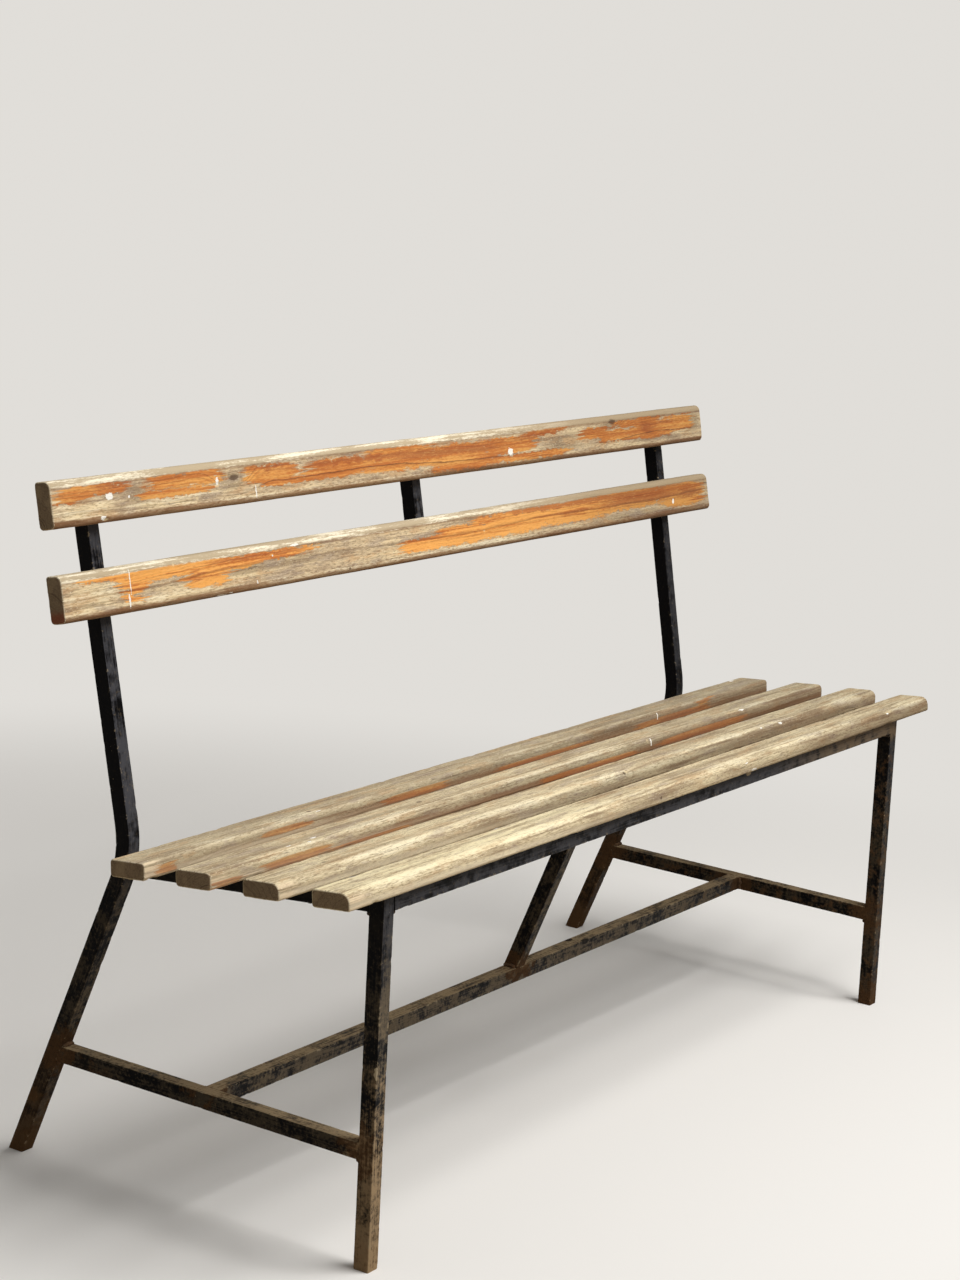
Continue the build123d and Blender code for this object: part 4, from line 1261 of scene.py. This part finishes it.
def screw_tree():
    """Slotted round-head screws on every point of the guide, each turned its own way."""
    inputs = {"Head": "Float", "Head Height": "Float", "Shank": "Float", "Length": "Float", "Slot": "Float"}
    inputs.update({"Axis": "Vector", "Seed": "Int", "Material": "Material"})
    net, given = geometry_net("Slotted screws", inputs)
    head = net.get("GeometryNodeMeshUVSphere", {"Segments": 28, "Rings": 16, "Radius": given["Head"] * 0.5})
    x, y, z = net.split(net.get("GeometryNodeInputPosition"))
    raised = net.sum("MAXIMUM", z, 0.0) * given["Head Height"] / (given["Head"] * 0.5)
    head = move(net, head, place=net.join(x, y, raised))
    size = net.join(given["Head"] * 1.5, given["Slot"], given["Head Height"])
    box = net.get("GeometryNodeMeshCube", {"Size": size})
    lift = {"Geometry": box, "Translation": net.join(0, 0, given["Head Height"] * 1.02)}
    box = net.get("GeometryNodeTransform", lift)
    head = net.get("GeometryNodeMeshBoolean", {0: head, 1: box}, operation="DIFFERENCE", solver="EXACT")
    values = {"Vertices": 20, "Radius": given["Shank"] * 0.5, "Depth": given["Length"]}
    shank = net.get("GeometryNodeMeshCylinder", values)
    lower = {"Geometry": shank, "Translation": net.join(0, 0, given["Length"] * -0.5 + 0.0004)}
    shank = net.get("GeometryNodeTransform", lower)
    screw = net.node("GeometryNodeJoinGeometry")
    net.put(screw.inputs[0], shank)
    net.put(screw.inputs[0], head)
    spin = net.node("FunctionNodeRandomValue", {2: 0.0, 3: math.tau}, data_type="FLOAT")
    net.put(spin.inputs["Seed"], given["Seed"])
    align = net.get("FunctionNodeAlignRotationToVector", {"Vector": given["Axis"]}, axis="Z")
    values = {"Axis": (0, 0, 1), "Angle": Value(net, spin.outputs[1])}
    twist = net.get("FunctionNodeAxisAngleToRotation", values)
    turned = net.get("FunctionNodeRotateRotation", {0: align, 1: twist}, rotation_space="LOCAL")
    points = net.get("GeometryNodeMeshToPoints", {"Mesh": given["Geometry"]})
    values = {"Points": points, "Instance": Value(net, screw.outputs[0]), "Rotation": turned}
    close_tree(net, net.get("GeometryNodeInstanceOnPoints", values), given["Material"])
    return net


# ---------------------------------------------------------------- operators


class BENCH_OT_seat_slats(bpy.types.Operator):
    """Make the four weathered seat slats"""

    bl_idname = "bench.seat_slats"
    bl_label = "Seat slats"

    def execute(self, context):
        sizes, finish = context.scene.bench_sizes, context.scene.bench_wood
        lines = Lines(sizes)
        left = lines.frame_left - sizes.seat_slat_left_reach
        for number, reach in enumerate(sizes.seat_slat_right_reach):
            name = f"seat_slat_{number + 1}"
            start = number * lines.slat_pitch - sizes.seat_slat_overhang
            tones = finish.seat_pale, finish.seat_grey
            values = {
                "Width": sizes.seat_slat_width,
                "Thickness": sizes.seat_slat_thickness,
                "Across": lines.down_slope,
                "Offset": (reach - sizes.seat_slat_left_reach) / 2,
                "Left End": finish.seat_end_round[0],
                "Right End": finish.seat_end_round[1],
                "Material": wood_material(f"Seat wood {number + 1}", BOARDS[name], finish, *tones, False),
            }
            ends = [lines.on_seat(x, start) for x in (left, lines.frame_right + reach)]
            hand_over(build_slat(name, finish, ends, values), "seat_wood", name)
        return {"FINISHED"}


class BENCH_OT_back_slats(bpy.types.Operator):
    """Make the two back slats with their old varnish"""

    bl_idname = "bench.back_slats"
    bl_label = "Back slats"

    def execute(self, context):
        sizes, finish = context.scene.bench_sizes, context.scene.bench_wood
        lines = Lines(sizes)
        left = lines.frame_left - sizes.back_slat_left_reach
        right = lines.frame_right + sizes.back_slat_right_reach
        for number, name in enumerate(("lower_back_slat", "upper_back_slat")):
            start = sizes.back_slat_rise + number * (sizes.back_slat_width + sizes.back_slat_gap)
            tones = finish.back_pale, finish.back_grey
            values = {
                "Width": sizes.back_slat_width,
                "Thickness": sizes.back_slat_thickness,
                "Across": lines.post_up,
                "Offset": (sizes.back_slat_right_reach - sizes.back_slat_left_reach) / 2,
                "Left End": finish.back_end_round[0],
                "Right End": finish.back_end_round[1],
                "Material": wood_material(f"Back wood {number + 1}", BOARDS[name], finish, *tones, True),
            }
            ends = [lines.on_back(x, start) for x in (left, right)]
            hand_over(build_slat(name, finish, ends, values), "back_wood", name)
        return {"FINISHED"}


class BENCH_OT_bars(bpy.types.Operator):
    """Make the painted bars of the frame"""

    bl_idname = "bench.bars"
    bl_label = "Bars"

    def execute(self, context):
        sizes, finish = context.scene.bench_sizes, context.scene.bench_frame
        lines = Lines(sizes)
        bars = [
            *lines.end_bars("left", lines.left_x),
            *lines.end_bars("right", lines.right_x),
            *lines.long_bars(),
        ]
        joints = guide("joints", [end for beads in bead_lines().values() for bead in beads for end in bead])
        shared = {
            "Side": sizes.bar_side,
            "Edge": sizes.bar_edge,
            "Bend Radius": sizes.bend_radius,
            "Row Spacing": finish.row_spacing,
            "Paint": finish.paint_depth,
            "Lump": finish.lump,
            "Joints": joints,
            "Material": painted_metal("Black paint", finish),
        }
        net = bar_tree()
        for number, (name, (points, across, start_cut, end_cut)) in enumerate(bars):
            piece = guide("painted_" + name, points, [(i, i + 1) for i in range(len(points) - 1)])
            values = {"Across": across, "Start Cut": start_cut, "End Cut": end_cut}
            run_tree(piece, net, {**shared, **values, "Seed": 1.7 * number + len(name)})
            hand_over(piece, "frame_paint", name)
        bpy.data.objects.remove(joints)
        return {"FINISHED"}


class BENCH_OT_welds(bpy.types.Operator):
    """Lay the weld beads"""

    bl_idname = "bench.welds"
    bl_label = "Welds"

    def execute(self, context):
        finish = context.scene.bench_frame
        material = weld_metal("Rusty weld", finish)
        net = weld_tree()
        for seed, (node, beads) in enumerate(bead_lines(finish.weld_bulk * 0.8).items()):
            ends = [end for bead in beads for end in bead]
            piece = guide("rusty_" + node, ends, [(i, i + 1) for i in range(0, len(ends), 2)])
            run_tree(piece, net, {"Bulk": finish.weld_bulk, "Seed": seed * 10, "Material": material})
            hand_over(piece, "weld_metal", node)
        return {"FINISHED"}


class BENCH_OT_screws(bpy.types.Operator):
    """Set the wood screws"""

    bl_idname = "bench.screws"
    bl_label = "Screws"

    def execute(self, context):
        sizes, finish = context.scene.bench_sizes, context.scene.bench_frame
        lines = Lines(sizes)
        shared = {
            "Head": sizes.screw_head,
            "Head Height": sizes.screw_head_height,
            "Shank": sizes.screw_shank,
            "Length": sizes.bar_side + sizes.screw_bite,
            "Slot": sizes.screw_slot,
            "Material": screw_metal("Screw steel", finish),
        }
        net = screw_tree()
        axes = {"seat_screws": -lines.seat_up, "back_screws": lines.post_back}
        for seed, (node, axis) in enumerate(axes.items()):
            seats = []
            for points in islands(node):
                tip = (points @ np.array(axis)).max()
                middle = Vector((points.min(axis=0) + points.max(axis=0)) / 2)
                seats.append(middle + axis * (tip - middle.dot(axis) - sizes.screw_head_height))
            piece = guide("worn_" + node, seats)
            run_tree(piece, net, {**shared, "Axis": axis, "Seed": seed})
            hand_over(piece, "screw_metal", node)
        return {"FINISHED"}


# Each lamp's place and side in metres, and the setting that holds its power.
LAMPS = {
    "Key lamp": (Vector((0.4, -1.9, 3.8)), 2.4, "key"),
    "Fill lamp": (Vector((-3.4, -2.4, 1.8)), 3.0, "fill"),
}
LAMP_TARGET = Vector((0, 0, 0.4))
AMBIENT_TINT = (1.0, 0.995, 0.985)


class BENCH_OT_stage(bpy.types.Operator):
    """Set the floor, the lamps and the camera"""

    bl_idname = "bench.stage"
    bl_label = "Stage"

    def execute(self, context):
        scene, look = context.scene, context.scene.bench_studio
        self.sweep(look)
        for name, (place, size, power) in LAMPS.items():
            self.lamp(name, place, size, getattr(look, power))
        world = bpy.data.worlds.new("Studio")
        world.use_nodes = True
        net = Net(world.node_tree)
        seen = net.get("ShaderNodeLightPath", (), "Is Camera Ray")
        background = world.node_tree.nodes["Background"]
        net.put(background.inputs["Color"], net.mix(seen, AMBIENT_TINT, look.floor))
        net.put(background.inputs["Strength"], look.ambient + seen * (look.glow - look.ambient))
        scene.world = world
        scene.view_settings.view_transform = "Standard"
        self.camera(scene, look)
        return {"FINISHED"}

    def sweep(self, look):
        """A floor that curves up into a backdrop."""
        near, far, top, half = -12.0, 9.0, 9.0, 14.0
        radius, steps = 1.5, 12
        profile = [(near, 0.0), (far - radius, 0.0)]
        for step in range(1, steps + 1):
            turn = math.radians(90 / steps * step)
            profile.append((far - radius + radius * math.sin(turn), radius - radius * math.cos(turn)))
        profile.append((far, top))
        points = [(x, y, z) for y, z in profile for x in (-half, half)]
        faces = [(2 * i, 2 * i + 1, 2 * i + 3, 2 * i + 2) for i in range(len(profile) - 1)]
        mesh = bpy.data.meshes.new("studio_sweep")
        mesh.from_pydata(points, [], faces)
        for polygon in mesh.polygons:
            polygon.use_smooth = True
        floor = bpy.data.objects.new("studio_sweep", mesh)
        bpy.context.scene.collection.objects.link(floor)
        material, net, surface = shader_net("Pale floor")
        net.put(surface.inputs["Roughness"], 0.9)
        surface.inputs["Specular IOR Level"].default_value = 0.1

        # the backdrop looks even, while the floor keeps the bench's shadow
        place = net.get("ShaderNodeTexCoord", (), "Object")
        away = net.vector("LENGTH", place - Vector((0, 0.3, 0)))
        path = net.node("ShaderNodeLightPath")
        rays = [Value(net, path.outputs[f"Is {kind} Ray"]) for kind in ("Camera", "Glossy", "Transmission")]
        in_view = net.highest(*rays)
        net.put(surface.inputs["Base Color"], net.mix(in_view, look.bounce, look.floor))
        even = in_view * net.slope(away, 1.0, 2.0)
        glow = net.get("ShaderNodeEmission", {"Color": look.floor, "Strength": look.glow})
        body = Value(net, surface.outputs["BSDF"])
        blend = net.get("ShaderNodeMixShader", {0: even, 1: body, 2: glow})
        net.put(net.tree.nodes["Material Output"].inputs["Surface"], blend)
        mesh.materials.append(material)

    def lamp(self, name, place, size, power):
        data = bpy.data.lights.new(name, "AREA")
        data.shape, data.size, data.energy = "SQUARE", size, power
        lamp = bpy.data.objects.new(name, data)
        lamp.location = place
        lamp.rotation_euler = (LAMP_TARGET - place).to_track_quat("-Z", "Y").to_euler()
        bpy.context.scene.collection.objects.link(lamp)

    def camera(self, scene, look):
        level = Vector((math.cos(look.turn), math.sin(look.turn), 0))
        ahead = level * math.cos(look.dip) - Z * math.sin(look.dip)
        right = Vector((math.sin(look.turn), -math.cos(look.turn), 0))
        down = ahead.cross(right)
        across = right * math.cos(look.roll) + down * math.sin(look.roll)
        up = right * math.sin(look.roll) - down * math.cos(look.roll)
        data = bpy.data.cameras.new("Camera")
        data.sensor_fit, data.sensor_width = "AUTO", 36.0
        data.lens, data.clip_end = look.lens, 60.0
        camera = bpy.data.objects.new("Camera", data)
        turn = Matrix((across, up, -ahead)).transposed()
        camera.matrix_world = Matrix.Translation(look.camera) @ turn.to_4x4()
        scene.collection.objects.link(camera)
        scene.camera = camera


class BENCH_PT_panel(bpy.types.Panel):
    """The bench's pieces and settings"""

    bl_idname = "BENCH_PT_panel"
    bl_label = "Slatted bench"
    bl_space_type = "VIEW_3D"
    bl_region_type = "UI"
    bl_category = "Bench"

    def draw(self, context):
        for operator in OPERATORS:
            self.layout.operator(operator.bl_idname)
        for group in GROUPS:
            self.layout.label(text=group)
            settings = getattr(context.scene, group)
            for name in settings.__annotations__:
                self.layout.prop(settings, name)


GROUPS = {
    "bench_sizes": BenchSizes,
    "bench_wood": WoodFinish,
    "bench_frame": FrameFinish,
    "bench_studio": StudioLook,
}
OPERATORS = (
    BENCH_OT_bars,
    BENCH_OT_welds,
    BENCH_OT_screws,
    BENCH_OT_seat_slats,
    BENCH_OT_back_slats,
    BENCH_OT_stage,
)
CLASSES = (*GROUPS.values(), *OPERATORS, BENCH_PT_panel)


def register():
    for item in CLASSES:
        bpy.utils.register_class(item)
    for name, group in GROUPS.items():
        setattr(bpy.types.Scene, name, PointerProperty(type=group))


def unregister():
    for name in GROUPS:
        delattr(bpy.types.Scene, name)
    for item in reversed(CLASSES):
        bpy.utils.unregister_class(item)


def main():
    register()
    bpy.ops.bench.bars()
    bpy.ops.bench.welds()
    bpy.ops.bench.screws()
    bpy.ops.bench.seat_slats()
    bpy.ops.bench.back_slats()
    bpy.ops.bench.stage()


if __name__ == "__main__":
    main()
